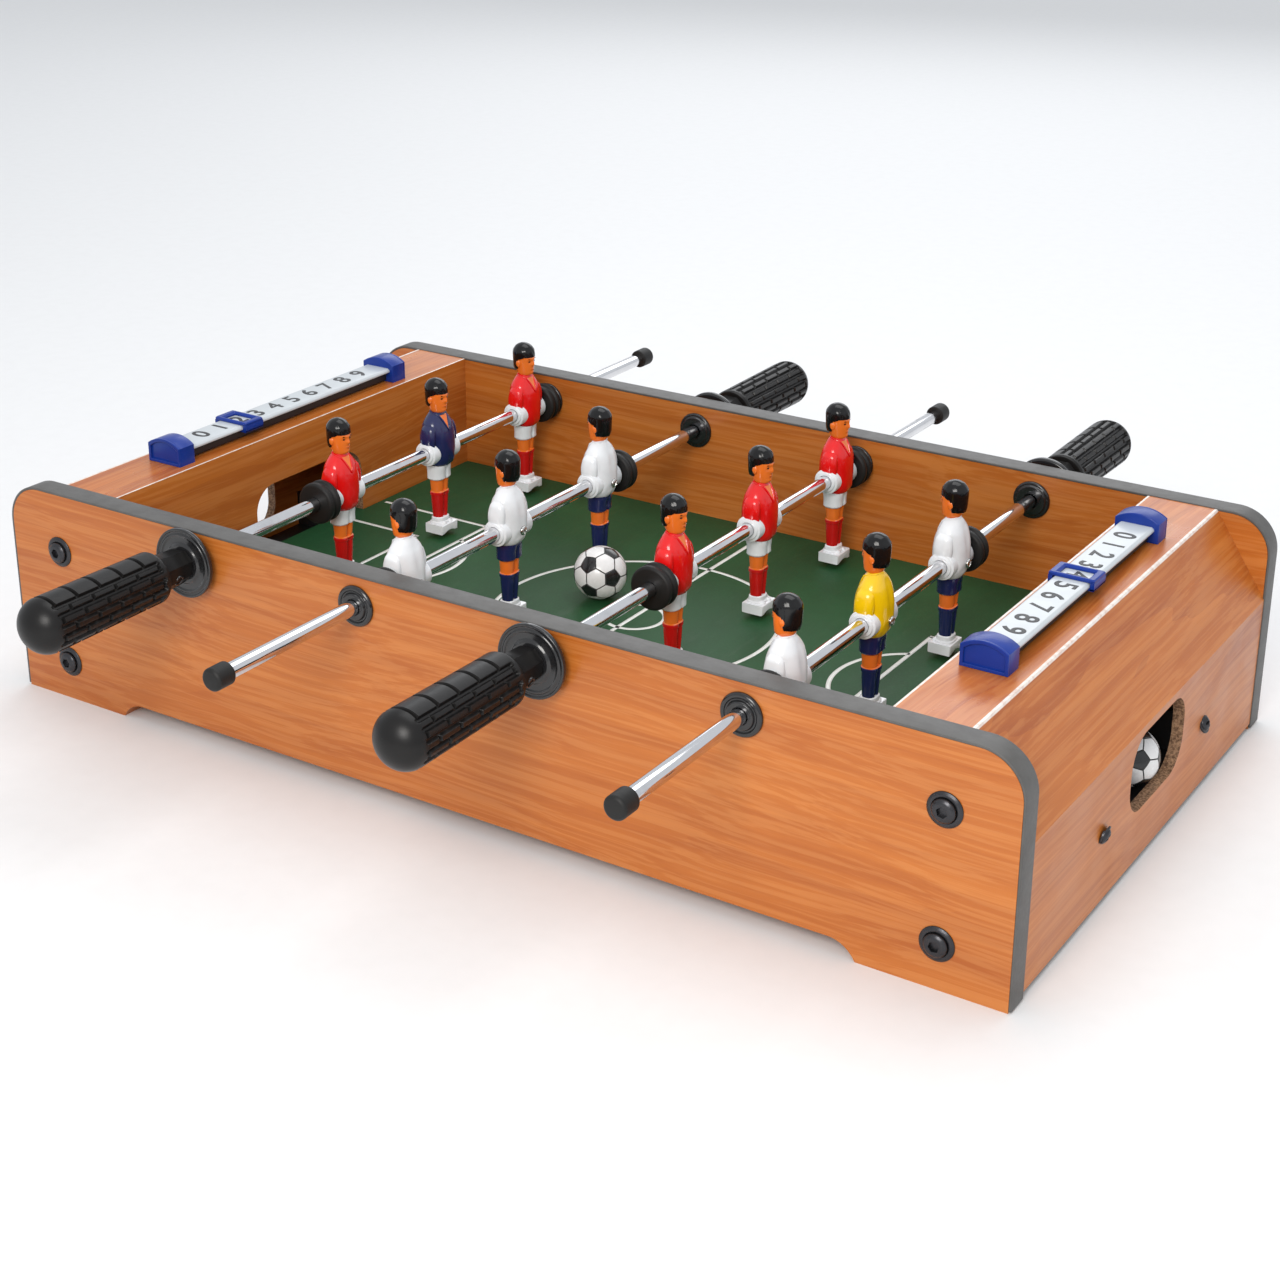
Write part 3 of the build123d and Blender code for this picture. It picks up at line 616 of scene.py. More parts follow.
# ---------------------------------------------------------------------------------- shapes
def blend_rows(rows: Sequence[Sequence[float]], count: int) -> np.ndarray:
    """Smooth rows of numbers that are keyed by their first column.

    Args:
        rows: rows in rising or falling order of the first column.
        count: how many rows to give.

    Returns:
        An array of rows evenly spaced in the first column, by monotone cubic steps.
    """
    table = np.array(rows, float)
    if table[0, 0] > table[-1, 0]:
        return blend_rows(table[::-1], count)[::-1]
    key = table[:, 0]
    step = np.diff(key)
    slope = np.diff(table, axis=0) / step[:, None]
    tangent = np.zeros_like(table)
    same = slope[:-1] * slope[1:] > 0
    with np.errstate(divide="ignore", invalid="ignore"):
        middle = 2 * slope[:-1] * slope[1:] / (slope[:-1] + slope[1:])
    tangent[1:-1] = np.where(same, middle, 0.0)
    tangent[0], tangent[-1] = slope[0], slope[-1]
    at = np.linspace(key[0], key[-1], count)
    index = np.clip(np.searchsorted(key, at, side="right") - 1, 0, len(key) - 2)
    t = ((at - key[index]) / step[index])[:, None]
    h = step[index][:, None]
    low, high = table[index], table[index + 1]
    return (
        (2 * t**3 - 3 * t**2 + 1) * low
        + (t**3 - 2 * t**2 + t) * h * tangent[index]
        + (-2 * t**3 + 3 * t**2) * high
        + (t**3 - t**2) * h * tangent[index + 1]
    )


def soft_corners(
    profile: Profile, radius: float, steps: int = 4, closed: bool = True
) -> list[tuple[float, float]]:
    """Round the corners of an outline.

    Args:
        profile: the corner points.
        radius: how far from a corner its rounding starts, at most.
        steps: points on each rounding.
        closed: whether the last point joins the first.

    Returns:
        The rounded outline's points.
    """
    out: list[tuple[float, float]] = []
    last = len(profile) - 1
    for i, corner in enumerate(profile):
        if not closed and i in (0, last):
            out.append(tuple(corner))
            continue
        here = np.array(corner)
        before = np.array(profile[i - 1]) - here
        after = np.array(profile[(i + 1) % len(profile)]) - here
        reach = min(radius, np.linalg.norm(before) * 0.45, np.linalg.norm(after) * 0.45)
        a = here + before / np.linalg.norm(before) * reach
        b = here + after / np.linalg.norm(after) * reach
        for t in np.linspace(0, 1, steps):
            out.append(tuple((1 - t) ** 2 * a + 2 * t * (1 - t) * here + t * t * b))
    return out


def oval(
    z: float, rx: float, ry: float, power: float = 2.0, cx: float = 0.0, count: int = 48
) -> np.ndarray:
    """A rounded ring about Z, from the front (+X) round by the left.

    Args:
        z: its height.
        rx: half its depth.
        ry: half its breadth.
        power: 2 for an ellipse, more for a squarer one.
        cx: how far forward it sits.
        count: its points.

    Returns:
        The ring's points.
    """
    angle = np.arange(count) * TURN / count
    c, s = np.cos(angle), np.sin(angle)
    x = cx + rx * np.sign(c) * np.abs(c) ** (2 / power)
    y = ry * np.sign(s) * np.abs(s) ** (2 / power)
    return np.stack([x, y, np.full(count, z)], -1)


def hoop(radius: object, y: object, angle: np.ndarray) -> np.ndarray:
    """A ring about the Y axis, from the top (+Z) round by +X.

    Args:
        radius: one radius, or one for each angle.
        y: its place along the axis.
        angle: the angles of its points.

    Returns:
        The ring's points.
    """
    return np.stack([radius * np.sin(angle), np.full(len(angle), y), radius * np.cos(angle)], -1)


class Shape:
    """Collects closed shells, in millimetres, each with its finish."""

    def __init__(self) -> None:
        """Start empty."""
        self.points: list[np.ndarray] = []
        self.faces: list[tuple[int, ...]] = []
        self.finish_of: list[Finish] = []
        self.size = 0

    def _take(self, points: np.ndarray, faces: Iterable[Sequence[int]], finish: Finish) -> None:
        """Add points and faces that count from the first of those points.

        Args:
            points: the points.
            faces: the faces, as point numbers.
            finish: their finish.
        """
        start = self.size
        self.points.append(np.asarray(points, float).reshape(-1, 3))
        self.size += len(self.points[-1])
        for face in faces:
            self.faces.append(tuple(int(k) + start for k in face))
            self.finish_of.append(finish)

    def loft(self, rings: Sequence[np.ndarray], finish: Finish, loop: bool = False) -> "Shape":
        """Skin a row of rings with the same number of points.

        Args:
            rings: the rings in order.
            finish: its finish.
            loop: join the last ring to the first, instead of capping both.

        Returns:
            This shape.
        """
        grid = np.array(rings, float)
        m, n, _ = grid.shape
        ids = np.arange(m * n).reshape(m, n)
        rows = [(i, (i + 1) % m) for i in range(m if loop else m - 1)]
        faces: list[tuple[int, ...]] = []
        for i, j in rows:
            for k in range(n):
                q = (k + 1) % n
                faces.append((ids[i, k], ids[i, q], ids[j, q], ids[j, k]))
        points = grid.reshape(-1, 3)
        if not loop:
            centres = [grid[0].mean(0), grid[-1].mean(0)]
            points = np.vstack([points, centres])
            for ring, centre in ((ids[0][::-1], m * n), (ids[-1], m * n + 1)):
                faces += [(ring[k], ring[(k + 1) % n], centre) for k in range(n)]
        self._take(points, faces, finish)
        return self

    def turned(
        self,
        profile: Profile,
        finish: Finish,
        count: int = 64,
        centre: Point = (0, 0, 0),
        loop: bool = True,
    ) -> "Shape":
        """Turn an outline of (radius, y) points about the Y axis.

        Args:
            profile: the outline.
            finish: its finish.
            count: points round.
            centre: where the axis stands.
            loop: whether the outline closes on itself, instead of ending in caps.

        Returns:
            This shape.
        """
        angle = np.arange(count) * TURN / count
        rings = [hoop(r, y, angle) + centre for r, y in profile]
        return self.loft(rings, finish, loop)

    def ball(self, centre: Point, radii: Point, finish: Finish, count: int = 20) -> "Shape":
        """An ellipsoid.

        Args:
            centre: its middle.
            radii: its half sizes along X, Y and Z.
            finish: its finish.
            count: points round.

        Returns:
            This shape.
        """
        tilt = np.linspace(0.12, math.pi - 0.12, count // 2)
        rings = [oval(-math.cos(t), math.sin(t), math.sin(t), count=count) * radii + centre for t in tilt]
        return self.loft(rings, finish)

    def tube(
        self, path: Sequence[Point], radius: float, finish: Finish, loop: bool = False, count: int = 10
    ) -> "Shape":
        """A round bead along a path.

        Args:
            path: the middle line.
            radius: the bead's radius.
            finish: its finish.
            loop: whether the path closes on itself.
            count: points round.

        Returns:
            This shape.
        """
        line = np.array(path, float)
        if loop:
            direction = np.roll(line, -1, 0) - np.roll(line, 1, 0)
        else:
            direction = np.gradient(line, axis=0)
        angle = np.arange(count) * TURN / count
        rings = []
        for spot, way in zip(line, direction):
            way = way / np.linalg.norm(way)
            side = np.cross(way, (0.3, 0.1, 1.0) if abs(way[2]) < 0.8 else (1.0, 0.2, 0.0))
            side /= np.linalg.norm(side)
            up = np.cross(side, way)
            rings.append(spot + radius * (np.outer(np.cos(angle), side) + np.outer(np.sin(angle), up)))
        return self.loft(rings, finish, loop)

    def slab(
        self,
        outline: Sequence[tuple[float, float]],
        low: float,
        high: float,
        finish: Finish,
        bevel: float,
        turn: Matrix = Matrix(),
    ) -> "Shape":
        """A flat-topped piece with bevelled edges, its outline in XY and its thickness in Z.

        Args:
            outline: its corners.
            low: its bottom.
            high: its top.
            finish: its finish.
            bevel: how much its edges are rounded.
            turn: how it is placed.

        Returns:
            This shape.
        """
        bm = bmesh.new()
        bottom = bm.faces.new([bm.verts.new((x, y, low)) for x, y in outline])
        raised = bmesh.ops.extrude_face_region(bm, geom=[bottom])["geom"]
        for vert in (v for v in raised if isinstance(v, bmesh.types.BMVert)):
            vert.co.z = high
        edges = [e for e in bm.edges if len(e.link_faces) == 2 and e.calc_face_angle(0) > math.radians(25)]
        bmesh.ops.bevel(
            bm, geom=edges, offset=bevel, segments=3, profile=0.5, affect="EDGES", clamp_overlap=True
        )
        bmesh.ops.transform(bm, matrix=turn, verts=bm.verts)
        bm.verts.index_update()
        faces = [[v.index for v in f.verts] for f in bm.faces]
        self._take(np.array([v.co[:] for v in bm.verts]), faces, finish)
        bm.free()
        return self

    def join(self, other: "Shape", place: Matrix = Matrix()) -> "Shape":
        """Add another shape's shells, placed by a matrix in millimetres.

        Args:
            other: the shape to add.
            place: where it goes.

        Returns:
            This shape.
        """
        cloud = np.vstack(other.points)
        turned = cloud @ np.array(place.to_3x3()).T + np.array(place.translation)
        start = self.size
        self.points.append(turned)
        self.size += len(turned)
        self.faces += [tuple(k + start for k in face) for face in other.faces]
        self.finish_of += other.finish_of
        return self

    def mesh(self, name: str, crease: float = 32.0) -> bpy.types.Mesh:
        """Make the mesh, in metres.

        Args:
            name: its name.
            crease: the angle in degrees past which an edge stays sharp.

        Returns:
            The mesh, with its faces outward.
        """
        mesh = bpy.data.meshes.new(name)
        mesh.from_pydata([tuple(p) for p in np.vstack(self.points) * MM], [], self.faces)
        finishes = list(dict.fromkeys(self.finish_of))
        for finish in finishes:
            mesh.materials.append(finish.material())
        mesh.polygons.foreach_set("material_index", [finishes.index(f) for f in self.finish_of])
        bm = bmesh.new()
        bm.from_mesh(mesh)
        bmesh.ops.recalc_face_normals(bm, faces=bm.faces)
        bm.to_mesh(mesh)
        bm.free()
        mesh.polygons.foreach_set("use_smooth", [True] * len(mesh.polygons))
        mesh.set_sharp_from_angle(angle=math.radians(crease))
        return mesh

    def piece(
        self, name: str, body: str, *nodes: str, slot: str = "", crease: float = 32.0
    ) -> bpy.types.Object:
        """Make the piece and tie it to the frame.

        Args:
            name: its name.
            body: the CAD body that it rides on.
            nodes: the CAD nodes that it stands for.
            slot: the record's material slot, or its first finish's.
            crease: the angle in degrees past which an edge stays sharp.

        Returns:
            The piece.
        """
        made = bpy.data.objects.new(name, self.mesh(name, crease))
        return tie(made, body, slot or self.finish_of[0].slot, *nodes)


def tie(made: bpy.types.Object, body: str, slot: str, *nodes: str) -> bpy.types.Object:
    """Link a piece, let it ride on a body, and name the nodes that it replaces.

    Args:
        made: the piece.
        body: the CAD body that it rides on.
        slot: not used.
        nodes: the CAD nodes that it stands for.

    Returns:
        The piece.
    """
    if made.name not in bpy.context.scene.collection.objects:
        put_in_scene(made)
    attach(made, body)
    if nodes:
        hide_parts(*nodes)
    LOG.info("piece %s rides on %s and replaces %s", made.name, body, nodes or "nothing")
    return made


def dress(node: str, finish: Finish) -> None:
    """Give a CAD node its finish.

    Args:
        node: the CAD node.
        finish: its finish.
    """
    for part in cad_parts[node].material_slots:
        part.material = finish.material()
    LOG.info("node %s dressed in %s", node, finish.name)


def middle(node: str) -> Vector:
    """The middle of a CAD node's box, in millimetres."""
    low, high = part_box(node)
    return (low + high) / 2 / MM


# --------------------------------------------------------------------------- repeated pieces
class Repeater:
    """Geometry Nodes that place copies of one small part on points."""

    _tree: bpy.types.NodeTree | None = None

    @classmethod
    def tree(cls) -> bpy.types.NodeTree:
        """The tree, built on its first use: points and their turns in, placed copies out.

        Returns:
            The tree.
        """
        if cls._tree is None:
            tree = bpy.data.node_groups.new("placed_copies", "GeometryNodeTree")
            for label, kind in (
                ("Points", "NodeSocketGeometry"), ("Part", "NodeSocketObject"),
                ("Finish", "NodeSocketMaterial"),
            ):
                tree.interface.new_socket(label, in_out="INPUT", socket_type=kind)
            tree.interface.new_socket("Copies", in_out="OUTPUT", socket_type="NodeSocketGeometry")
            g = Graph(tree)
            start, end = g.add("NodeGroupInput"), g.add("NodeGroupOutput")
            part = g.add("GeometryNodeObjectInfo", {"Object": start.outputs["Part"]})
            turn = g.add("GeometryNodeInputNamedAttribute", {"Name": "turn"}, data_type="FLOAT_VECTOR")
            spin = g.add("FunctionNodeEulerToRotation", {0: turn.outputs[0]})
            copies = g.add(
                "GeometryNodeInstanceOnPoints",
                {
                    "Points": start.outputs["Points"],
                    "Instance": part.outputs["Geometry"],
                    "Rotation": spin.outputs[0],
                },
            )
            real = g.add("GeometryNodeRealizeInstances", {0: copies.outputs[0]})
            painted = g.add(
                "GeometryNodeSetMaterial",
                {"Geometry": real.outputs[0], "Material": start.outputs["Finish"]},
            )
            tree.links.new(painted.outputs[0], end.inputs[0])
            cls._tree = tree
        return cls._tree

    @classmethod
    def place(
        cls, name: str, part: Shape, places: Sequence[tuple[Point, Point]], finish: Finish
    ) -> bpy.types.Object:
        """Place copies of a part.

        Args:
            name: the piece's name.
            part: the part about its own origin, in millimetres.
            places: where each copy stands, in millimetres, and its turns about X, Y and Z.
            finish: the copies' finish.

        Returns:
            The piece as a plain mesh.
        """
        source = bpy.data.objects.new(name + "_part", part.mesh(name + "_part"))
        put_in_scene(source)
        cloud = bpy.data.meshes.new(name)
        cloud.from_pydata([tuple(c * MM for c in spot) for spot, _ in places], [], [])
        turns = cloud.attributes.new("turn", "FLOAT_VECTOR", "POINT")
        turns.data.foreach_set("vector", [c for _, turn in places for c in turn])
        made = bpy.data.objects.new(name, cloud)
        put_in_scene(made)
        run_tree(made, cls.tree(), {"Part": source, "Finish": finish.material()})
        bpy.data.objects.remove(source)
        return made


def run_tree(made: bpy.types.Object, tree: bpy.types.NodeTree, values: dict) -> None:
    """Run a geometry tree on an object and keep the result as its plain mesh.

    Args:
        made: the object.
        tree: the tree.
        values: input name to value.
    """
    modifier = made.modifiers.new("shape", "NODES")
    modifier.node_group = tree
    for item in tree.interface.items_tree:
        if item.in_out == "INPUT" and item.name in values:
            modifier[item.identifier] = values[item.name]
    bpy.context.view_layer.update()
    ready = made.evaluated_get(bpy.context.evaluated_depsgraph_get())
    mesh = bpy.data.meshes.new_from_object(ready)
    mesh.name = made.name
    made.modifiers.remove(modifier)
    made.data = mesh
    for other in [a.name for a in mesh.attributes if a.name == "turn"]:
        mesh.attributes.remove(mesh.attributes[other])


# ------------------------------------------------------------------------------------ table
@dataclass
class Box:
    """The wooden box: panels, folded ends, edge mouldings, playfield and trays."""

    panel: float = 11.0
    band: float = 1.2
    corner: float = 19.0
    lift: float = 1.0
    overhang: float = 0.12

    def build(self) -> None:
        """Dress the boards and make the edge mouldings."""
        for side, facing in (("front", -1), ("back", 1)):
            dress(f"side_panel_{side}", PANEL_WOOD)
            self.moulding(side, facing)
        for side in ("left", "right"):
            dress(f"goal_wall_{side}", GOAL_WOOD)
            dress(f"ledge_board_{side}", LEDGE_WOOD)
            dress(f"slope_board_{side}", SLOPE_WOOD)
            dress(f"end_board_{side}", END_WOOD)
            dress(f"ball_tray_{side}", TRAY_BLACK)
        dress("end_blocks", BLOCK_WOOD)
        dress("barrel_nuts", STEEL_ZINC)
        dress("playfield_board", PITCH_GREEN)

    def moulding(self, side: str, facing: int) -> None:
        """Make the rounded grey moulding round one panel's ends and top.

        Args:
            side: front or back.
            facing: which way the panel faces along Y, -1 or 1.
        """
        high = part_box(f"edge_band_{side}")[1]
        half, top = high.x / MM, high.z / MM
        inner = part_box(f"side_panel_{side}")[0 if facing > 0 else 1].y / MM
        near, far = sorted((inner, inner + facing * self.panel))
        near, far = near - self.overhang, far + self.overhang
        path, ways = [(-half, self.lift)], [(-1.0, 0.0)]
        for centre, start in ((-half + self.corner, 180.0), (half - self.corner, 90.0)):
            for step in range(17):
                angle = math.radians(start - 90 * step / 16)
                way = (math.cos(angle), math.sin(angle))
                path.append((centre + self.corner * way[0], top - self.corner + self.corner * way[1]))
                ways.append(way)
        path.append((half, self.lift))
        ways.append((1.0, 0.0))
        section = soft_corners([(-self.band, near), (0.0, near), (0.0, far), (-self.band, far)], 0.75, 4)
        rings = [[(x + d * wx, y, z + d * wz) for d, y in section] for (x, z), (wx, wz) in zip(path, ways)]
        Shape().loft(rings, EDGE_GREY).piece(f"edge_moulding_{side}", "table", f"edge_band_{side}")


class PitchLines:
    """Geometry Nodes that draw the white lines of the playfield."""

    SIZES = {
        "Half Length": 0.1925,
        "Half Width": 0.1300,
        "Line": 0.0021,
        "Centre Circle": 0.0680,
        "Centre Spot": 0.0143,
        "Box Front": 0.1260,
        "Box Half": 0.0550,
        "Area Front": 0.1480,
        "Area Half": 0.0250,
        "Arc Centre": 0.1450,
        "Arc": 0.0380,
        "Height": 0.0441,
    }

    def tree(self) -> bpy.types.NodeTree:
        """Build the tree from its named sizes.

        Returns:
            The tree.
        """
        tree = bpy.data.node_groups.new("pitch_lines", "GeometryNodeTree")
        for label, value in self.SIZES.items():
            socket = tree.interface.new_socket(label, in_out="INPUT", socket_type="NodeSocketFloat")
            socket.default_value = value
        tree.interface.new_socket("Finish", in_out="INPUT", socket_type="NodeSocketMaterial")
        tree.interface.new_socket("Lines", in_out="OUTPUT", socket_type="NodeSocketGeometry")
        g = Graph(tree)
        start, end = g.add("NodeGroupInput"), g.add("NodeGroupOutput")
        size = start.outputs
        curves = [self.line(g, (0.0, 1.0), (0.0, -1.0), size["Half Length"], size["Half Width"])]
        for key in ("Centre Circle", "Centre Spot"):
            ring = g.add(
                "GeometryNodeCurvePrimitiveCircle", {"Resolution": 128, "Radius": size[key]}, mode="RADIUS"
            )
            curves.append(ring.outputs[0])
        for way in (-1.0, 1.0):
            for front, half in (("Box Front", "Box Half"), ("Area Front", "Area Half")):
                curves.append(self.bracket(g, size, way, front, half))
            curves.append(self.arc(g, size, way))
        joined = g.add("GeometryNodeJoinGeometry")
        for curve in curves:
            tree.links.new(curve, joined.inputs[0])
        profile = g.add(
            "GeometryNodeCurvePrimitiveQuadrilateral",
            {"Width": size["Line"], "Height": 0.00004},
            mode="RECTANGLE",
        )
        ribbon = g.add(
            "GeometryNodeCurveToMesh",
            {"Curve": joined.outputs[0], "Profile Curve": profile.outputs[0], "Fill Caps": True},
        )
        lifted = g.add(
            "GeometryNodeTransform",
            {
                "Geometry": ribbon.outputs[0],
                "Translation": g.add("CombineXYZ", {2: size["Height"]}).outputs[0],
            },
        )
        real = g.add("GeometryNodeRealizeInstances", {0: lifted.outputs[0]})
        painted = g.add(
            "GeometryNodeSetMaterial", {"Geometry": real.outputs[0], "Material": size["Finish"]}
        )
        tree.links.new(painted.outputs[0], end.inputs[0])
        return tree

    @staticmethod
    def line(
        g: Graph, a: tuple[float, float], b: tuple[float, float], length: Socket, width: Socket
    ) -> Socket:
        """A straight line between two places given in shares of a length and a width.

        Args:
            g: the tree's graph.
            a: the first place.
            b: the last place.
            length: the length that X shares count in.
            width: the width that Y shares count in.

        Returns:
            The curve.
        """
        ends = {}
        for label, (x, y) in (("Start", a), ("End", b)):
            ends[label] = g.add(
                "CombineXYZ", {0: g.math("MULTIPLY", length, x), 1: g.math("MULTIPLY", width, y)}
            ).outputs[0]
        return g.add("GeometryNodeCurvePrimitiveLine", ends).outputs[0]

    def bracket(self, g: Graph, size: object, way: float, front: str, half: str) -> Socket:
        """The three sides of a box in front of one goal.

        Args:
            g: the tree's graph.
            size: the named sizes.
            way: 1 for the +X goal, -1 for the other.
            front: the size that gives its front.
            half: the size that gives its half width.

        Returns:
            The curves.
        """
        joined = g.add("GeometryNodeJoinGeometry")
        g.tree.links.new(self.line(g, (way, 1.0), (way, -1.0), size[front], size[half]), joined.inputs[0])
        for side in (-1.0, 1.0):
            near = g.add(
                "CombineXYZ",
                {
                    0: g.math("MULTIPLY", g.math("SUBTRACT", size[front], 0.0009), way),
                    1: g.math("MULTIPLY", size[half], side),
                },
            ).outputs[0]
            far = g.add(
                "CombineXYZ",
                {0: g.math("MULTIPLY", size["Half Length"], way), 1: g.math("MULTIPLY", size[half], side)},
            ).outputs[0]
            stroke = g.add("GeometryNodeCurvePrimitiveLine", {"Start": near, "End": far})
            g.tree.links.new(stroke.outputs[0], joined.inputs[0])
        return joined.outputs[0]

    @staticmethod
    def arc(g: Graph, size: object, way: float) -> Socket:
        """The arc in front of one penalty box.

        Args:
            g: the tree's graph.
            size: the named sizes.
            way: 1 for the +X goal, -1 for the other.

        Returns:
            The curve.
        """
        reach = g.math(
            "ARCCOSINE",
            g.math("DIVIDE", g.math("SUBTRACT", size["Arc Centre"], size["Box Front"]), size["Arc"]),
        )
        facing = math.pi if way > 0 else 0.0
        sockets = {
            "Resolution": 48,
            "Radius": size["Arc"],
            "Start Angle": g.math("SUBTRACT", facing, reach),
            "Sweep Angle": g.math("MULTIPLY", reach, 2.0),
        }
        curve = g.add("GeometryNodeCurveArc", sockets, mode="RADIUS")
        shift = g.add("CombineXYZ", {0: g.math("MULTIPLY", size["Arc Centre"], way)}).outputs[0]
        return g.add(
            "GeometryNodeTransform", {"Geometry": curve.outputs[0], "Translation": shift}
        ).outputs[0]

    def build(self) -> None:
        """Draw the lines just above the board."""
        made = bpy.data.objects.new("pitch_lines", bpy.data.meshes.new("pitch_lines"))
        put_in_scene(made)
        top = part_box("playfield_board")[1].z
        run_tree(
            made, self.tree(), {**self.SIZES, "Height": top + 0.00003, "Finish": LINE_WHITE.material()}
        )
        tie(made, "table", LINE_WHITE.slot)


@dataclass
class Fasteners:
    """Washers, socket bolts, screws and the rod bushings."""

    washer: float = 7.25
    head: float = 4.9
    socket: float = 2.0

    def build(self) -> None:
        """Make and place every kind."""
        self.at_panels("bolt_washers", "panel_washers", self.washer_part(), STEEL_BLACK)
        self.at_panels("panel_bolts", "panel_socket_bolts", self.bolt_part(), STEEL_BLACK)
        self.end_screws()
        self.bushings()

    def corners(self) -> tuple[list[float], list[float], float]:
        """Where the panel bolts stand, from the frame.

        Returns:
            The distances from the middle, the heights and how far out the washers reach.
        """
        low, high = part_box("bolt_washers")
        xs = [low.x / MM + self.washer, high.x / MM - self.washer]
        zs = [low.z / MM + self.washer, high.z / MM - self.washer]
        return xs, zs, high.y / MM

    def at_panels(self, node: str, name: str, part: Shape, finish: Finish) -> None:
        """Place a part at the eight panel bolts, facing outward.

        Args:
            node: the CAD node that the piece stands for.
            name: the piece's name.
            part: one fastener.
            finish: its finish.
        """
        xs, zs, outer = self.corners()
        places = [
            ((x, side * outer, z), (0.0, (x + z) % 1.3, 0.0 if side > 0 else math.pi))
            for x in xs
            for z in zs
            for side in (-1, 1)
        ]
        tie(Repeater.place(name, part, places, finish), "table", finish.slot, node)

    def washer_part(self) -> Shape:
        """A bevelled washer whose face is at y = 0 and points to +Y."""
        outline = [
            (3.2, -1.2), (self.washer, -1.2), (self.washer, -0.7), (self.washer - 1.1, 0.0),
            (self.head + 0.35, 0.0), (self.head + 0.1, -0.35), (3.2, -0.35),
        ]
        return Shape().turned(soft_corners(outline, 0.22, 4), STEEL_BLACK, 56)

    def bolt_part(self) -> Shape:
        """A low round socket head on its shank.

        Returns:
            The bolt.
        """
        outline = [
            (2.9, -18.0), (2.9, -0.3), (self.head, -0.3), (self.head, 0.9), (self.head - 1.2, 1.8),
            (self.socket + 0.5, 2.0),
        ]
        rounded = soft_corners(outline, 0.4, 4, closed=False)
        angle = np.arange(48) * TURN / 48
        rings = [hoop(r, y, angle) for r, y in rounded]
        flat = self.socket / np.cos((angle + math.pi / 6) % (math.pi / 3) - math.pi / 6)
        for depth in (1.95, 1.75, 0.5):
            rings.append(hoop(flat, depth, angle))
        return Shape().loft(rings, STEEL_BLACK)

    def end_screws(self) -> None:
        """Place the flanged screws of the end boards."""
        low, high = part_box("end_board_screws")
        y, z = high.y / MM - 4.6, (low.z + high.z) / 2 / MM
        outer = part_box("end_board_right")[1].x / MM
        places = [
            ((side * outer, s * y, z), (0.4 * s, 0.0, -side * math.pi / 2))
            for side in (-1, 1)
            for s in (-1, 1)
        ]
        part = self.cross_screw(4.6, 0.8, 3.4, 2.5, 12.0)
        screws = Repeater.place("end_screws", part, places, STEEL_BLACK)
        tie(screws, "table", STEEL_BLACK.slot, "end_board_screws")

    @staticmethod
    def cross_screw(flange: float, plate: float, head: float, crown: float, shank: float) -> Shape:
        """A domed cross-slot screw that points to +Y.

        Args:
            flange: radius of the flange.
            plate: thickness of the flange.
            head: radius of the head.
            crown: height of the head above the seat.
            shank: length below the seat.

        Returns:
            The screw.
        """
        count, rows = 72, 14
        angle = np.arange(count) * TURN / count
        rings = [
            (1.0, -shank), (1.7, -shank + 1.5), (1.7, 0.0), (flange, 0.0), (flange, plate * 0.6),
            (flange - 0.3, plate), (head + 0.05, plate),
        ]
        grid = [hoop(r, y, angle) for r, y in rings]
        for step in range(rows):
            tilt = math.pi / 2 * step / rows
            r = head * math.cos(tilt)
            x, z = r * np.sin(angle), r * np.cos(angle)
            y = np.full(count, plate + (crown - plate) * math.sin(tilt))
            arm = np.minimum(np.abs(x), np.abs(z))
            reach = np.maximum(np.abs(x), np.abs(z))
            cut = np.clip((head * 0.16 - arm) / 0.12, 0, 1) * np.clip((head * 0.62 - reach) / 0.2, 0, 1)
            grid.append(np.stack([x, y - cut * crown * 0.45, z], -1))
        return Shape().loft(grid, STEEL_BLACK)

    def bushings(self) -> None:
        """Place the flanged bushings on both faces of the panels."""
        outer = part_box("side_panel_back")[1].y / MM
        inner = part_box("side_panel_back")[0].y / MM
        height = middle("rod_1_tube").z
        rods = [middle(f"rod_{n}_tube").x for n in range(1, 5)]
        outside = [
            (3.6, outer - 1.0), (6.5, outer - 1.0), (6.5, outer), (9.2, outer), (9.2, outer + 1.0),
            (8.4, outer + 1.8), (7.3, outer + 1.8), (6.9, outer + 1.2), (6.2, outer + 1.2),
            (5.7, outer + 2.6), (3.6, outer + 2.6),
        ]
        inside = [
            (3.6, inner), (9.2, inner), (9.2, inner - 1.0), (8.6, inner - 1.6), (7.5, inner - 1.6),
            (7.2, inner - 2.5), (3.6, inner - 2.5),
        ]
        for name, node, outline in (
            ("outer_bushings", "bushing_flanges", outside), ("inner_bushings", "bushing_nuts", inside)
        ):
            part = Shape().turned(soft_corners(outline, 0.4, 4), GLOSS_BLACK, 64)
            places = [((x, 0.0, height), (0.0, 0.0, turn)) for x in rods for turn in (0.0, math.pi)]
            tie(Repeater.place(name, part, places, GLOSS_BLACK), "table", GLOSS_BLACK.slot, node)


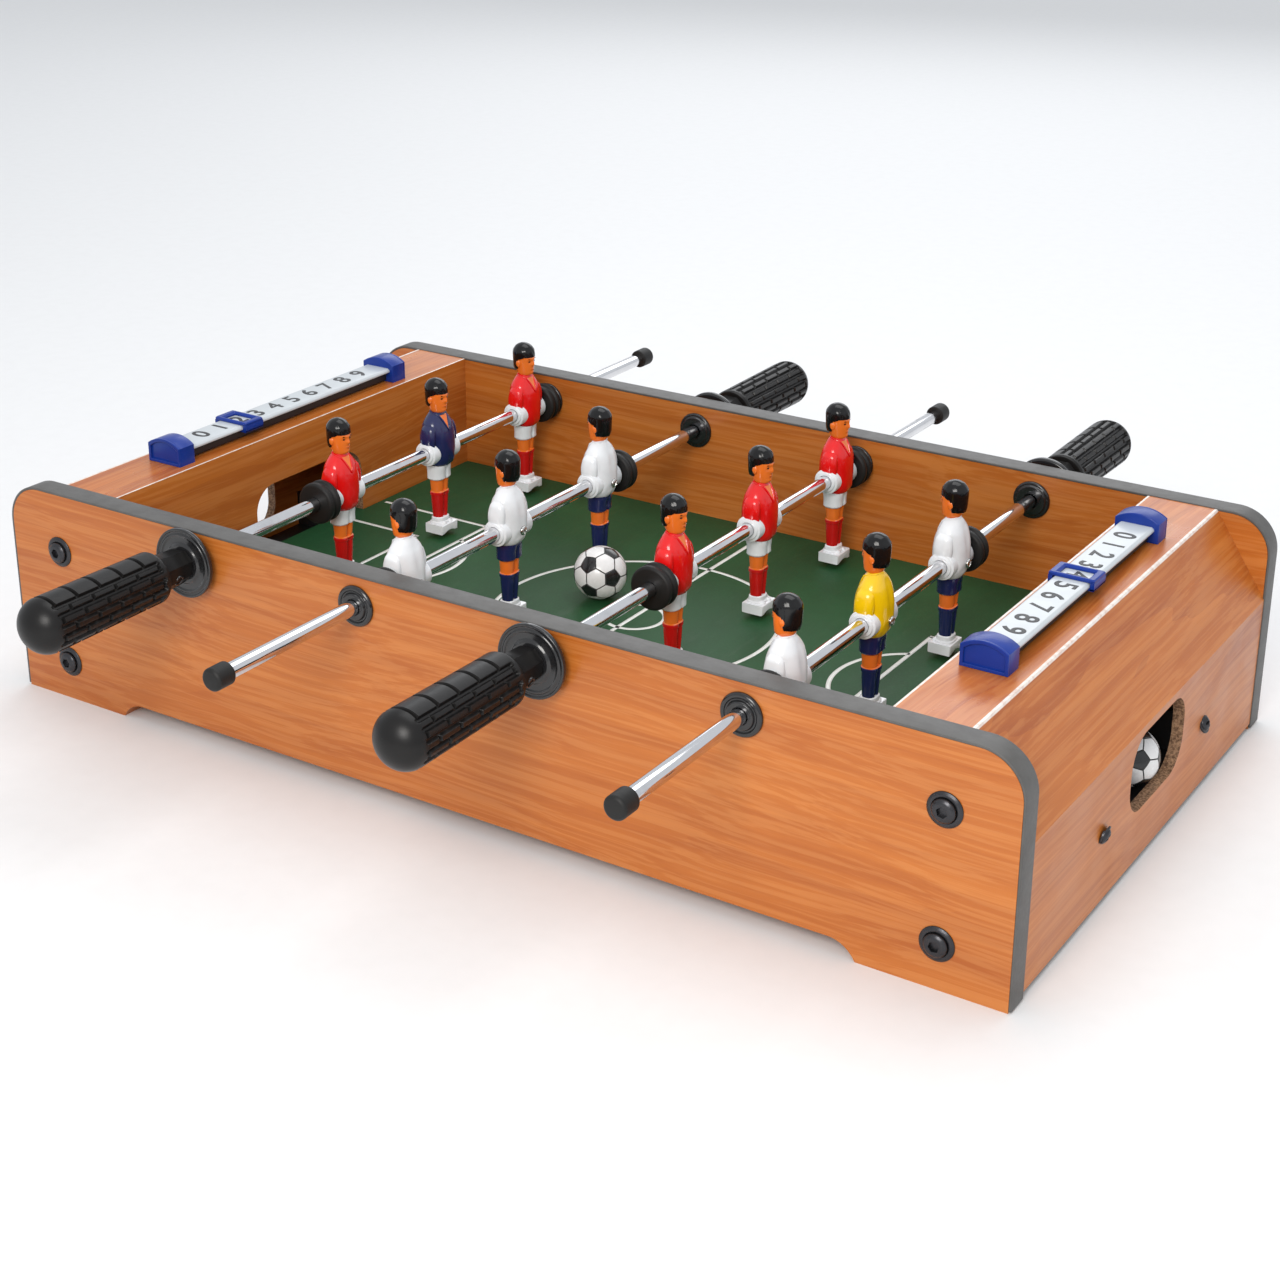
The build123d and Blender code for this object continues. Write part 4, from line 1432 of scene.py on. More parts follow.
class DigitStrip:
    """Geometry Nodes that print the digits 0 to 9 in a row."""

    SIZES = {"Size": 0.0135, "Pitch": 0.0131, "Weight": 0.0006, "Thickness": 0.00006}

    def tree(self) -> bpy.types.NodeTree:
        """Build the tree: a row of filled digits from its size and pitch.

        Returns:
            The tree.
        """
        tree = bpy.data.node_groups.new("digit_strip", "GeometryNodeTree")
        for label, value in self.SIZES.items():
            socket = tree.interface.new_socket(label, in_out="INPUT", socket_type="NodeSocketFloat")
            socket.default_value = value
        tree.interface.new_socket("Finish", in_out="INPUT", socket_type="NodeSocketMaterial")
        tree.interface.new_socket("Digits", in_out="OUTPUT", socket_type="NodeSocketGeometry")
        g = Graph(tree)
        start, end = g.add("NodeGroupInput"), g.add("NodeGroupOutput")
        joined = g.add("GeometryNodeJoinGeometry")
        for digit in range(10):
            text = g.add(
                "GeometryNodeStringToCurves",
                {"String": str(digit), "Size": start.outputs["Size"]},
                align_x="CENTER",
                align_y="MIDDLE",
            )
            shift = g.add("CombineXYZ", {0: g.math("MULTIPLY", start.outputs["Pitch"], digit - 4.5)})
            moved = {"Geometry": text.outputs[0], "Translation": shift.outputs[0]}
            placed = g.add("GeometryNodeTransform", moved)
            tree.links.new(placed.outputs[0], joined.inputs[0])
        real = g.add("GeometryNodeRealizeInstances", {0: joined.outputs[0]})
        filled = g.add("GeometryNodeFillCurve", {"Curve": real.outputs[0]})
        raised = g.add(
            "GeometryNodeExtrudeMesh",
            {"Mesh": filled.outputs[0], "Offset Scale": start.outputs["Thickness"], "Individual": False},
        )
        stroke = g.add(
            "GeometryNodeCurvePrimitiveQuadrilateral",
            {"Width": start.outputs["Weight"], "Height": start.outputs["Thickness"]},
            mode="RECTANGLE",
        )
        bold = g.add(
            "GeometryNodeCurveToMesh", {"Curve": real.outputs[0], "Profile Curve": stroke.outputs[0]}
        )
        both = g.add("GeometryNodeJoinGeometry")
        for mesh in (raised, bold):
            tree.links.new(mesh.outputs[0], both.inputs[0])
        painted = g.add(
            "GeometryNodeSetMaterial", {"Geometry": both.outputs[0], "Material": start.outputs["Finish"]}
        )
        tree.links.new(painted.outputs[0], end.inputs[0])
        return tree

    def build(self, end: str, middle_x: float, top: float, sign: int) -> None:
        """Print one rail's digits.

        Args:
            end: left or right.
            middle_x: where the rail's middle line is, in millimetres.
            top: the strip's top, in millimetres.
            sign: 1 at the +X end, -1 at the other.
        """
        name = f"digits_{end}"
        made = bpy.data.objects.new(name, bpy.data.meshes.new(name))
        put_in_scene(made)
        run_tree(made, self.tree(), {**self.SIZES, "Finish": DIGIT_BLACK.material()})
        turn = Matrix.Rotation(-sign * math.pi / 2, 4, "Z")
        made.data.transform(Matrix.Translation((middle_x * MM, 0.0, top * MM + 0.00002)) @ turn)
        tie(made, "table", DIGIT_BLACK.slot)


@dataclass
class ScoreRails:
    """The white digit strips, their blue end blocks and the sliding markers."""

    strip_half: float = 8.0
    block_half: float = 10.0
    side: float = 9.0
    crown: float = 12.3
    block_reach: tuple[float, float] = (74.5, 85.0)
    window: tuple[float, float] = (13.0, 8.6)

    def build(self) -> None:
        """Make both rails."""
        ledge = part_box("ledge_board_right")[1].z / MM
        low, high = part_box("score_bars")
        top, bottom = high.z / MM, low.z / MM
        x = high.x / MM - self.strip_half
        strips, blocks = Shape(), Shape()
        for sign, end in ((-1, "left"), (1, "right")):
            half = self.strip_half
            outline = [
                (-half, bottom), (half, bottom), (half, bottom + 1.0), (half - 1.1, top),
                (-half + 1.1, top), (-half, bottom + 1.0),
            ]
            section = soft_corners(outline, 0.3, 3)
            rings = [[(sign * x + a, y, z) for a, z in section] for y in (-high.y / MM, high.y / MM)]
            strips.loft(rings, WHITE_BAR)
            # Painted shade: a black block under the strip fills the gap beneath it, standing in for the
            # shade there.
            gap_shade_fill = [
                (sign * x - half + 2.4, -high.y / MM), (sign * x + half - 2.4, -high.y / MM),
                (sign * x + half - 2.4, high.y / MM), (sign * x - half + 2.4, high.y / MM),
            ]
            strips.slab(gap_shade_fill, ledge + 1.0, bottom, TRAY_BLACK, 0.2)
            DigitStrip().build(end, sign * x, top, sign)
            for way in (-1, 1):
                turn = Matrix.Rotation(0 if way > 0 else math.pi, 4, "Z")
                blocks.join(self.block(), Matrix.Translation((sign * x, 0, ledge)) @ turn)
            self.marker(end)
        strips.piece("score_strips", "table", "score_bars", slot="white_plastic")
        blocks.piece("score_end_blocks", "table", "score_blocks")

    def block(self) -> Shape:
        """One arch-topped block at the +Y end, with an arched recess in its outer face.

        Returns:
            The block.
        """
        near, far = self.block_reach
        arch = self.arch(self.block_half, self.side, self.crown)
        stand = Matrix.Rotation(math.pi / 2, 4, "X")
        body = Shape().slab([(x, z) for x, z in arch], -far + 0.9, -near, BLUE_PLASTIC, 0.5, stand)
        inner = self.arch(self.block_half - 1.5, self.side - 1.4, self.crown - 1.6, 1.4)
        rings = []
        for outline, depth in (
            (arch, far - 1.0),
            (arch, far - 0.25),
            (self.arch(self.block_half - 0.25, self.side - 0.15, self.crown - 0.25, 0.15), far),
            (self.arch(self.block_half - 1.3, self.side - 1.2, self.crown - 1.4, 1.2), far),
            (inner, far - 0.2),
            (inner, far - 1.0),
        ):
            rings.append([(x, depth, z) for x, z in outline])
        return body.loft(rings, BLUE_PLASTIC, loop=True)

    @staticmethod
    def arch(half: float, side: float, crown: float, foot: float = 0.0) -> list[tuple[float, float]]:
        """An arch outline: flat foot, upright sides and a shallow crown.

        Args:
            half: its half width.
            side: height of its sides.
            crown: its full height.
            foot: height of its foot.

        Returns:
            The outline's points.
        """
        rise = crown - side
        radius = (half * half + rise * rise) / (2 * rise)
        reach = math.asin(half / radius)
        top = [
            (radius * math.sin(a), crown - radius + radius * math.cos(a))
            for a in np.linspace(reach, -reach, 17)
        ]
        return [(-half, foot), (half, foot)] + top

    def marker(self, end: str) -> None:
        """The windowed blue marker of one rail.

        Args:
            end: left or right.
        """
        node = f"score_slider_{end}"
        low, high = (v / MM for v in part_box(node))
        centre = (low + high) / 2
        hx, hy = (high.x - low.x) / 2, (high.y - low.y) / 2
        wx, wy = self.window[0] / 2, self.window[1] / 2
        strip_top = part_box("score_bars")[1].z / MM
        strip_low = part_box("score_bars")[0].z / MM
        rows = (
            (hx - 0.05, hy - 0.05, strip_top + 0.15), (hx, hy, strip_top + 0.3), (hx, hy, high.z - 0.5),
            (hx - 0.5, hy - 0.5, high.z), (wx + 0.9, wy + 0.7, high.z), (wx, wy, high.z - 0.8),
            (wx, wy, strip_top + 0.15),
        )
        rings = [self.frame_ring(centre, a, b, z) for a, b, z in rows]
        shape = Shape().loft(rings, BLUE_PLASTIC, loop=True)
        for way in (-1, 1):
            lip = [
                (way * (self.strip_half + 0.15), strip_top + 0.4),
                (way * hx, strip_top + 0.4),
                (way * hx, low.z),
                (way * (self.strip_half + 0.15), low.z),
            ]
            section = soft_corners(lip, 0.35, 3)
            rings = [[(centre.x + a, centre.y + y, z) for a, z in section] for y in (-hy, hy)]
            shape.loft(rings, BLUE_PLASTIC)
        under = [
            (centre.x - hx, centre.y - hy), (centre.x + hx, centre.y - hy),
            (centre.x + hx, centre.y + hy), (centre.x - hx, centre.y + hy),
        ]
        shape.slab(under, low.z, strip_low - 0.15, BLUE_PLASTIC, 0.25)
        shape.piece(f"score_marker_{end}", f"score_marker_{end}", node, slot="blue_plastic")

    @staticmethod
    def frame_ring(centre: Vector, hx: float, hy: float, z: float) -> list[Point]:
        """A rounded rectangle about a marker's middle."""
        corners = soft_corners([(-hx, -hy), (hx, -hy), (hx, hy), (-hx, hy)], 0.8, 5)
        return [(centre.x + x, centre.y + y, z) for x, y in corners]


# ----------------------------------------------------------------------------------- players
@dataclass(frozen=True)
class Kit:
    """What one player wears.

    Attributes:
        shirt: shirt finish.
        shorts: shorts finish.
        socks: socks finish.
    """

    shirt: Finish
    shorts: Finish
    socks: Finish


class Role(Enum):
    """The kits on the table."""

    RED = Kit(PAINT_RED, PAINT_WHITE, PAINT_DARK_RED)
    BLUE_KEEPER = Kit(PAINT_NAVY, PAINT_WHITE, PAINT_DARK_RED)
    WHITE = Kit(PAINT_WHITE, PAINT_NAVY, PAINT_NAVY)
    YELLOW_KEEPER = Kit(PAINT_YELLOW, PAINT_NAVY, PAINT_NAVY)


@dataclass
class Figure:
    """One moulded player facing +X, the rod's axis along Y through the origin."""

    kit: Kit
    torso: tuple = (
        (-7.6, 4.8, 5.4, 2.3, 0.5),
        (-6.6, 6.0, 6.6, 2.5, 0.4),
        (-3.6, 7.3, 7.5, 2.5, 0.2),
        (1.0, 7.9, 8.0, 2.5, 0.0),
        (6.0, 7.8, 8.3, 2.5, 0.0),
        (10.5, 7.2, 8.6, 2.4, 0.0),
        (14.0, 6.2, 8.5, 2.3, -0.1),
        (17.0, 4.9, 7.0, 2.2, -0.2),
        (19.0, 4.1, 5.0, 2.1, -0.2),
        (20.4, 3.3, 3.6, 2.0, -0.1),
    )
    skull: tuple = (
        (19.9, 2.2, 2.1, 1.1),
        (20.8, 3.9, 3.4, 0.8),
        (23.0, 4.7, 4.1, 0.45),
        (26.0, 5.3, 4.7, 0.1),
        (30.0, 5.7, 5.0, -0.1),
        (33.5, 5.2, 4.6, -0.2),
        (35.6, 3.7, 3.3, -0.2),
        (36.7, 1.6, 1.4, -0.2),
    )
    hub: float = 6.2
    hub_half: float = 11.3
    rod: float = 3.35

    def build(self) -> Shape:
        """Make the whole figure.

        Returns:
            The figure.
        """
        shape = Shape()
        self.body(shape)
        self.legs(shape)
        self.foot(shape)
        self.head(shape)
        return shape

    def body(self, shape: Shape) -> None:
        """Shirt, sleeves, collar and the white hub.

        Args:
            shape: the figure's shape.
        """
        shirt = self.kit.shirt
        rows = blend_rows(self.torso, 40)
        rings = []
        for z, rx, ry, power, cx in rows:
            ring = oval(z, rx, ry, power, cx, 56)
            fold = 0.22 * np.sin(ring[:, 1] * 1.1 + z * 0.55) * math.exp(-((z + 4) / 5.0) ** 2)
            spine = 0.5 * np.exp(-((ring[:, 1] / 1.6) ** 2)) * math.exp(-((z - 10) / 6.0) ** 2)
            ring[:, 0] += np.where(ring[:, 0] < 0, spine + fold * 0.6, fold)
            rings.append(ring)
        shape.loft(rings, shirt)
        for side in (-1, 1):
            sleeve = [
                (14.6, 2.6, 1.6, 7.0), (12.5, 3.9, 2.5, 7.7), (8.0, 4.5, 2.5, 8.5),
                (4.2, 4.3, 1.9, 8.7), (2.9, 4.1, 1.6, 8.7), (2.5, 3.6, 1.2, 8.5),
            ]
            arm = []
            for z, rx, ry, cy in blend_rows(sleeve, 16):
                ring = oval(z, rx, ry, 2.2, 0.3, 28)
                ring[:, 1] += side * cy
                arm.append(ring)
            shape.loft(arm, shirt)
        outline = [
            (self.rod, -self.hub_half), (4.9, -self.hub_half), (5.1, -self.hub_half + 0.7),
            (self.hub, -self.hub_half + 0.9), (self.hub, self.hub_half - 0.9),
            (5.1, self.hub_half - 0.7), (4.9, self.hub_half), (self.rod, self.hub_half),
        ]
        shape.turned(soft_corners(outline, 0.35, 3), PAINT_WHITE, 44)
        neck = [
            oval(z, rx, ry, 2.0, cx, 32)
            for z, rx, ry, cx in blend_rows(
                [(16.5, 3.6, 3.6, 0.2), (19.5, 3.1, 3.0, 0.1), (22.5, 3.2, 3.0, 0.0)], 8
            )
        ]
        shape.loft(neck, SKIN)
        self.collar(shape)

    def front(self, z: float, y: float) -> float:
        """How far forward the shirt's surface is at a height and a side position.

        Args:
            z: the height.
            y: the side position.

        Returns:
            The distance in front of the rod's axis.
        """
        table = np.array(self.torso)
        rx, ry, power, cx = (np.interp(z, table[:, 0], table[:, k]) for k in range(1, 5))
        return cx + rx * (1 - min(abs(y) / ry, 0.98) ** power) ** (1 / power)

    def collar(self, shape: Shape) -> None:
        """The open neck with a rolled collar round it.

        Args:
            shape: the figure's shape.
        """
        rings = []
        for t in np.linspace(0, 1, 9):
            z, half = 19.0 - 7.2 * t, 2.7 * (1 - t) + 0.08
            ring = [(self.front(z, y) + 0.16, y, z) for y in np.linspace(-half, half, 7)]
            ring += [(self.front(z, y) - 1.0, y, z) for y in np.linspace(half, -half, 7)]
            rings.append(ring)
        shape.loft(rings, SKIN)
        half_path = [
            (self.front(z, y) + 0.12, y, z)
            for y, z in ((0.0, 11.5), (0.9, 13.6), (1.8, 16.2), (2.75, 18.4))
        ]
        half_path += [(2.2, 3.5, 19.4), (0.0, 3.75, 20.1), (-2.0, 3.0, 20.5)]
        path = [*half_path, (-3.2, 0.0, 20.6), *[(x, -y, z) for x, y, z in reversed(half_path[1:])]]
        shape.tube(path, 0.5, self.kit.shirt, loop=True)

    def legs(self, shape: Shape) -> None:
        """Shorts, thighs and socks, each with the crease between the legs.

        Args:
            shape: the figure's shape.
        """
        shorts = [
            (-15.0, 4.3, 5.9), (-14.6, 4.9, 6.5), (-12.0, 4.9, 6.4), (-8.0, 5.3, 6.3), (-4.0, 5.0, 5.8)
        ]
        thighs = [(-23.0, 3.3, 4.5), (-18.0, 3.7, 4.9), (-13.0, 4.0, 5.2)]
        socks = [
            (-37.6, 2.9, 4.0), (-34.0, 3.1, 4.1), (-29.0, 3.4, 4.5), (-25.0, 3.6, 4.7), (-23.4, 3.6, 4.8)
        ]
        cuff = [(-23.8, 3.6, 4.7), (-23.5, 3.95, 5.1), (-22.2, 4.0, 5.15), (-21.8, 3.6, 4.7)]
        rows = (
            (shorts, 16, self.kit.shorts, -9.0), (thighs, 10, SKIN, 0.0),
            (socks, 16, self.kit.socks, 0.0), (cuff, 8, self.kit.socks, 0.0),
        )
        for sections, count, finish, until in rows:
            rings = []
            for z, rx, ry in blend_rows(sections, count):
                ring = oval(z, rx, ry, 2.5, 0.0, 44)
                depth = 0.42 if z < until - 2 else 0.42 * max(
                    0.0, min(1.0, (until + 2 - z) / 4)
                ) if until else 0.42
                ring[:, 0] *= 1 - depth * np.exp(-((ring[:, 1] / 0.85) ** 2))
                rings.append(ring)
            shape.loft(rings, finish)
        lip = [
            oval(z, 3.75 + d, 4.85 + d, 2.5, 0.0, 44)
            for z, d in ((-22.0, 0.0), (-21.75, 0.06), (-21.5, -0.3))
        ]
        shape.loft(lip, SKIN)

    def foot(self, shape: Shape) -> None:
        """The white block with its ankle step and two shoe tops.

        Args:
            shape: the figure's shape.
        """
        outline = [(-6.4, -38.7), (-6.4, -43.5), (-4.3, -43.5)]
        outline += [(y, -43.5 + 1.1 * (1 - (y / 4.3) ** 2)) for y in np.linspace(-3.4, 3.4, 7)]
        outline += [(4.3, -43.5), (6.4, -43.5), (6.4, -38.7)]
        stand = Matrix(((0, 0, 1, 0), (1, 0, 0, 0), (0, 1, 0, 0), (0, 0, 0, 1)))
        shape.slab(outline, -4.9, 6.1, PAINT_WHITE, 0.55, stand)
        step = [
            (-39.6, 4.4, 5.2), (-38.0, 4.4, 5.2), (-37.5, 3.8, 4.8), (-35.8, 3.6, 4.6), (-35.4, 3.0, 4.1)
        ]
        shape.loft([oval(z, rx, ry, 2.8, 0.1, 40) for z, rx, ry in step], PAINT_WHITE)
        for side in (-1, 1):
            shape.ball((2.4, side * 2.4, -38.7), (3.2, 2.0, 1.5), PAINT_WHITE)

    def head(self, shape: Shape) -> None:
        """A calm, plain head with combed hair.

        Args:
            shape: the figure's shape.
        """
        rings = []
        for z, rx, ry, cx in blend_rows(self.skull, 44):
            ring = oval(z, rx, ry, 2.15, cx, 56)
            side = ring[:, 1]
            front = np.clip(ring[:, 0] / rx, 0, 1)
            bridge = 1.0 if z < 26.3 else 2.1
            lift = 1.15 * np.exp(-((side / 0.75) ** 2)) * math.exp(-(((z - 26.3) / bridge) ** 2))
            lift += 0.4 * np.exp(-((side / 3.2) ** 2)) * math.exp(-(((z - 29.3) / 0.9) ** 2))
            lift -= 0.45 * np.exp(
                -(((np.abs(side) - 1.9) / 0.9) ** 2)
            ) * math.exp(-(((z - 27.9) / 0.9) ** 2))
            lift += 0.3 * np.exp(-((side / 1.6) ** 2)) * math.exp(-(((z - 23.7) / 0.55) ** 2))
            lift += 0.4 * np.exp(-((side / 1.8) ** 2)) * math.exp(-(((z - 21.7) / 0.8) ** 2))
            ring[:, 0] += lift * front
            rings.append(ring)
        shape.loft(rings, SKIN)
        for side in (-1, 1):
            shape.ball((-0.4, side * 4.9, 27.0), (1.35, 0.75, 2.0), SKIN, 16)
            shape.ball((4.75, side * 1.95, 27.9), (0.45, 0.75, 0.42), HAIR, 12)
            shape.ball((5.05, side * 2.0, 29.3), (0.4, 1.15, 0.25), HAIR, 12)
        shape.ball((5.15, 0.0, 23.75), (0.45, 1.35, 0.2), LIP, 12)
        self.hair(shape)

    def hair(self, shape: Shape) -> None:
        """A glossy cap of combed hair, low at the back and over the ears.

        Args:
            shape: the figure's shape.
        """
        count, rows = 72, 22
        angle = np.arange(count) * TURN / count
        c = np.cos(angle)
        brow = 29.3 + 1.0 * np.clip(c / 0.5, 0, 1) ** 2
        nape = 23.2 + 0.6 * np.abs(np.sin(angle))
        fade = np.clip((0.02 - c) / 0.3, 0, 1)
        edge = brow + (nape - brow) * fade * fade * (3 - 2 * fade)
        table = np.array(self.skull)
        rings = []
        for step in range(-1, rows):
            t = max(step, 0) / (rows - 1)
            z = edge + (37.0 - edge) * math.sin(t * math.pi / 2)
            rx, ry, cx = (np.interp(z, table[:, 0], table[:, k]) for k in (1, 2, 3))
            cap = np.sqrt(np.clip(1 - ((z - 28.0) / 9.4) ** 2, 0.0, 1.0))
            rx, ry = np.maximum(rx, 5.75 * cap), np.maximum(ry, 5.05 * cap)
            thick = -0.5 if step < 0 else 0.62 + 0.13 * np.sin(angle * 13 + z * 0.9) * (1 - t)
            crown = np.sqrt(1 - (np.clip(z - 32.0, 0, None) / 5.02) ** 2)
            rx, ry = np.clip(rx + thick, 0.06, 6.1 * crown), np.clip(ry + thick, 0.05, 5.4 * crown)
            rings.append(
                np.stack([cx + rx * c, ry * np.sin(angle), z + (0.35 if step >= 0 else 0.0) * t], -1)
            )
        shape.loft(rings, HAIR)


# -------------------------------------------------------------------------------------- rods
@dataclass
class Rod:
    """One rod with its players, handle, guard, cap, bumpers and screws.

    Attributes:
        number: which rod it is, from 1 at -X.
        roles: the players' kits from -Y to +Y in the table's frame.
        band: how far the grip's smooth band is turned from upright, in degrees.
    """

    number: int
    roles: tuple[Role, Role, Role]
    band: float
    pitch: float = 75.0
    player_half: float = 11.3
    grip_radius: float = 12.3
    shoulder: float = 11.7
    neck: float = 17.4
    neck_flat: float = 7.6
    dome: float = 10.5
    grip_points: int = 240
    pin_depth: float = 8.15
    grub_offset: float = 9.0
    ribs: int = 14
    band_half: float = 37.0
    plain_start: float = 3.6
    groove_depth: float = 1.5
    cross_depth: float = 1.35
    cross_pitch: float = 12.6

    def build(self) -> None:
        """Make every piece of the rod."""
        low, high = (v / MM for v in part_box(f"rod_{self.number}_players"))
        axis = middle(f"rod_{self.number}_tube")
        self.body = f"rod_{self.number}"
        self.flip = self.number % 2 == 0
        turn = Matrix.Rotation(math.pi if self.flip else 0.0, 4, "Z")
        self.place = Matrix.Translation((axis.x, (low.y + high.y) / 2, axis.z)) @ turn
        self.team()
        self.tube()
        self.handle()
        self.disc()
        self.rubber()
        self.screws()
        dress(f"rod_{self.number}_sleeves", NYLON_BLACK)

    def ends(self, part: str) -> tuple[float, float]:
        """Where a part starts and ends along the rod, in the rod's own frame.

        Args:
            part: the node's name without its rod.

        Returns:
            The start and the end.
        """
        low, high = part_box(f"rod_{self.number}_{part}")
        inverse = self.place.inverted()
        spots = sorted((inverse @ (corner / MM)).y for corner in (low, high))
        return spots[0], spots[1]

    def finish(self, shape: Shape, name: str, *parts: str, slot: str = "") -> None:
        """Place a shape on the table and tie it to the rod.

        Args:
            shape: the shape in the rod's own frame.
            name: the piece's name without its rod.
            parts: the CAD nodes that it stands for, without their rod.
            slot: the record's material slot, or its first finish's.
        """
        placed = Shape().join(shape, self.place)
        nodes = [f"rod_{self.number}_{part}" for part in parts]
        placed.piece(f"rod_{self.number}_{name}", self.body, *nodes, slot=slot)

    def team(self) -> None:
        """The three players."""
        shape = Shape()
        roles = self.roles[::-1] if self.flip else self.roles
        for step, role in zip((-1, 0, 1), roles):
            shape.join(Figure(role.value).build(), Matrix.Translation((0, step * self.pitch, 0)))
        slot = "player_white" if self.flip else "player_red"
        self.finish(shape, "team", "players", slot=slot)

    def tube(self) -> None:
        """The bright tube."""
        start, end = self.ends("tube")
        outline = [(2.5, start), (3.3, start), (3.3, end), (2.5, end)]
        self.finish(Shape().turned(soft_corners(outline, 0.2, 3), CHROME, 48), "bright_tube", "tube")

    def rubber(self) -> None:
        """The bumpers beside the outer players and the cap on the plain end."""
        start = self.pitch + self.player_half
        outline = [
            (3.3, start), (9.0, start), (10.0, start + 0.7), (10.0, start + 2.6), (8.9, start + 3.2),
            (8.9, start + 4.8), (10.0, start + 5.4), (10.0, start + 7.3), (9.0, start + 8.0),
            (3.3, start + 8.0),
        ]
        shape = Shape()
        for turn in (0.0, math.pi):
            bumper = Shape().turned(soft_corners(outline, 0.5, 4), RUBBER_BLACK, 64)
            shape.join(bumper, Matrix.Rotation(turn, 4, "Z"))
        self.finish(shape, "rubber_bumpers", "bumpers")
        _, end = self.ends("end_cap")
        first = end - 9.5
        outline = [
            (3.3, first), (4.55, first), (4.9, first + 0.5), (4.9, end - 1.0), (3.9, end), (1.0, end + 0.1)
        ]
        profile = [(3.3, end - 1.8), *soft_corners(outline, 0.6, 5, closed=False)]
        cap = Shape().turned(profile, RUBBER_BLACK, 48, loop=False)
        self.finish(cap, "rubber_cap", "end_cap")

    def disc(self) -> None:
        """The glossy guard with its raised double rim."""
        start, end = self.ends("guard")
        outline = [
            (3.3, start), (8.6, start + 0.1), (9.6, start + 1.0), (12.2, start + 1.2),
            (12.7, start + 0.7), (13.4, start + 0.7), (13.9, start + 1.2), (14.6, start + 1.2),
            (15.1, start + 0.5), (16.0, start + 0.8), (16.0, end - 0.8), (15.2, end), (3.3, end),
        ]
        self.finish(Shape().turned(soft_corners(outline, 0.4, 4), GLOSS_BLACK, 96), "guard_disc", "guard")

    def handle(self) -> None:
        """The ribbed grip with its eight-sided neck."""
        tip, neck_end = self.ends("handle")
        base = neck_end - self.neck
        angle = np.arange(self.grip_points) * TURN / self.grip_points
        straight = base - tip - self.dome
        rings = []
        octagon = self.neck_flat / np.cos((angle + math.pi / 8) % (math.pi / 4) - math.pi / 8)
        for y, grow in (
            (neck_end, 0.9), (neck_end - 2.0, 0.96), (neck_end - self.neck * 0.6, 1.0),
            (base + 0.8, 1.1), (base + 0.02, 1.16),
        ):
            rings.append(hoop(octagon * grow, y, angle))
        for r in (0.9, 0.95, 1.0):
            drop = 1.2 * (1 - math.sqrt(max(0.0, 1 - ((r - 0.9) / 0.1) ** 2)))
            rings.append(hoop(self.shoulder * r, base - drop, angle))
        for s in np.arange(1.5, straight + 0.01, 0.3):
            rings.append(hoop(self.relief(s, angle, straight), base - s, angle))
        for t in np.linspace(0.03, 0.985, 34):
            tilt = t * math.pi / 2
            s = straight + self.dome * math.sin(tilt)
            radius = self.relief(s, angle, straight) - self.grip_radius + self.grip_radius * math.cos(tilt)
            rings.append(hoop(radius, base - s, angle))
        shape = Shape().loft(rings, GRIP_BLACK)
        self.finish(shape, "ribbed_grip", "handle")

    def relief(self, s: float, angle: np.ndarray, straight: float) -> np.ndarray:
        """The grip's radius at a distance from its shoulder, with its grooves.

        Args:
            s: distance from the shoulder.
            angle: angles round the rod.
            straight: length of the ribbed part.

        Returns:
            The radius at each angle.
        """
        base = self.shoulder + (self.grip_radius - self.shoulder) * min(1.0, s / straight)
        turn = math.radians(self.band if not self.flip else -self.band)
        around = np.degrees((angle - turn + math.pi) % TURN - math.pi)
        edge = self.band_half
        rib = (360 - 2 * edge) / self.ribs
        past = (around - edge) % 360
        on_band = past > 360 - 2 * edge
        index = np.floor(past / rib + 0.5)
        side = np.minimum(past - (360 - 2 * edge), 360 - past)
        away = np.radians(np.where(on_band, side, np.abs(past - index * rib))) * base
        over = max(0.0, self.plain_start - s, s - (straight + 0.6))
        groove = np.sqrt(away**2 + over**2)
        depth = self.groove_depth * np.clip((1.15 - groove) / 0.6, 0, 1) ** 0.8
        which = np.floor(past / rib)
        shift = np.where(on_band, 0.0, np.where(which % 2 == 0, 0.5, 0.0)) * self.cross_pitch
        half = self.cross_pitch / 2
        gap = np.abs((straight - s + shift + half) % self.cross_pitch - half)
        inside = 1.0 if 3.0 < s < straight + 0.8 else 0.0
        cross = self.cross_depth * np.clip((0.95 - gap) / 0.5, 0, 1) * inside
        return base - np.maximum(depth, cross)

    def screws(self) -> None:
        """The cross-slot screws behind the players and the handle's grub screw."""
        name = f"rod_{self.number}_pins"
        part = Fasteners.cross_screw(2.2, 0.25, 2.1, 1.2, 3.0)
        back = self.place @ Matrix.Translation((-self.pin_depth, 0, 0))
        spin = math.pi / 2 if not self.flip else -math.pi / 2
        places = []
        for step in (-1, 0, 1):
            spot = back @ Vector((0, step * self.pitch, 0))
            places.append((tuple(spot), (0.0, 0.6 * step, spin)))
        _, neck_end = self.ends("handle")
        hole = self.place @ Vector((-7.0, neck_end - self.grub_offset, 0))
        places.append((tuple(hole), (0.0, 0.3, spin)))
        pins = Repeater.place(name, part, places, STEEL_ZINC)
        tie(pins, self.body, STEEL_ZINC.slot, f"rod_{self.number}_screws")
        rim = soft_corners([(1.5, 6.6), (2.5, 6.6), (2.5, 7.9), (2.0, 8.2), (1.5, 7.9)], 0.25, 3)
        boss = Shape().turned(rim, GLOSS_BLACK, 32)
        side = Matrix.Rotation(-math.pi / 2, 4, "Z")
        where = Matrix.Translation((0, neck_end - self.grub_offset, 0)) @ side
        lower = Matrix.Rotation(math.radians(24), 4, "Y")
        socket = Shape().turned([(0.9, 6.0), (1.5, 6.0), (1.5, 7.3), (0.9, 7.3)], STEEL_ZINC, 24)
        both = Shape().join(boss, lower @ where).join(socket, lower @ where)
        self.finish(both, "grub_screw", slot="gloss_black")


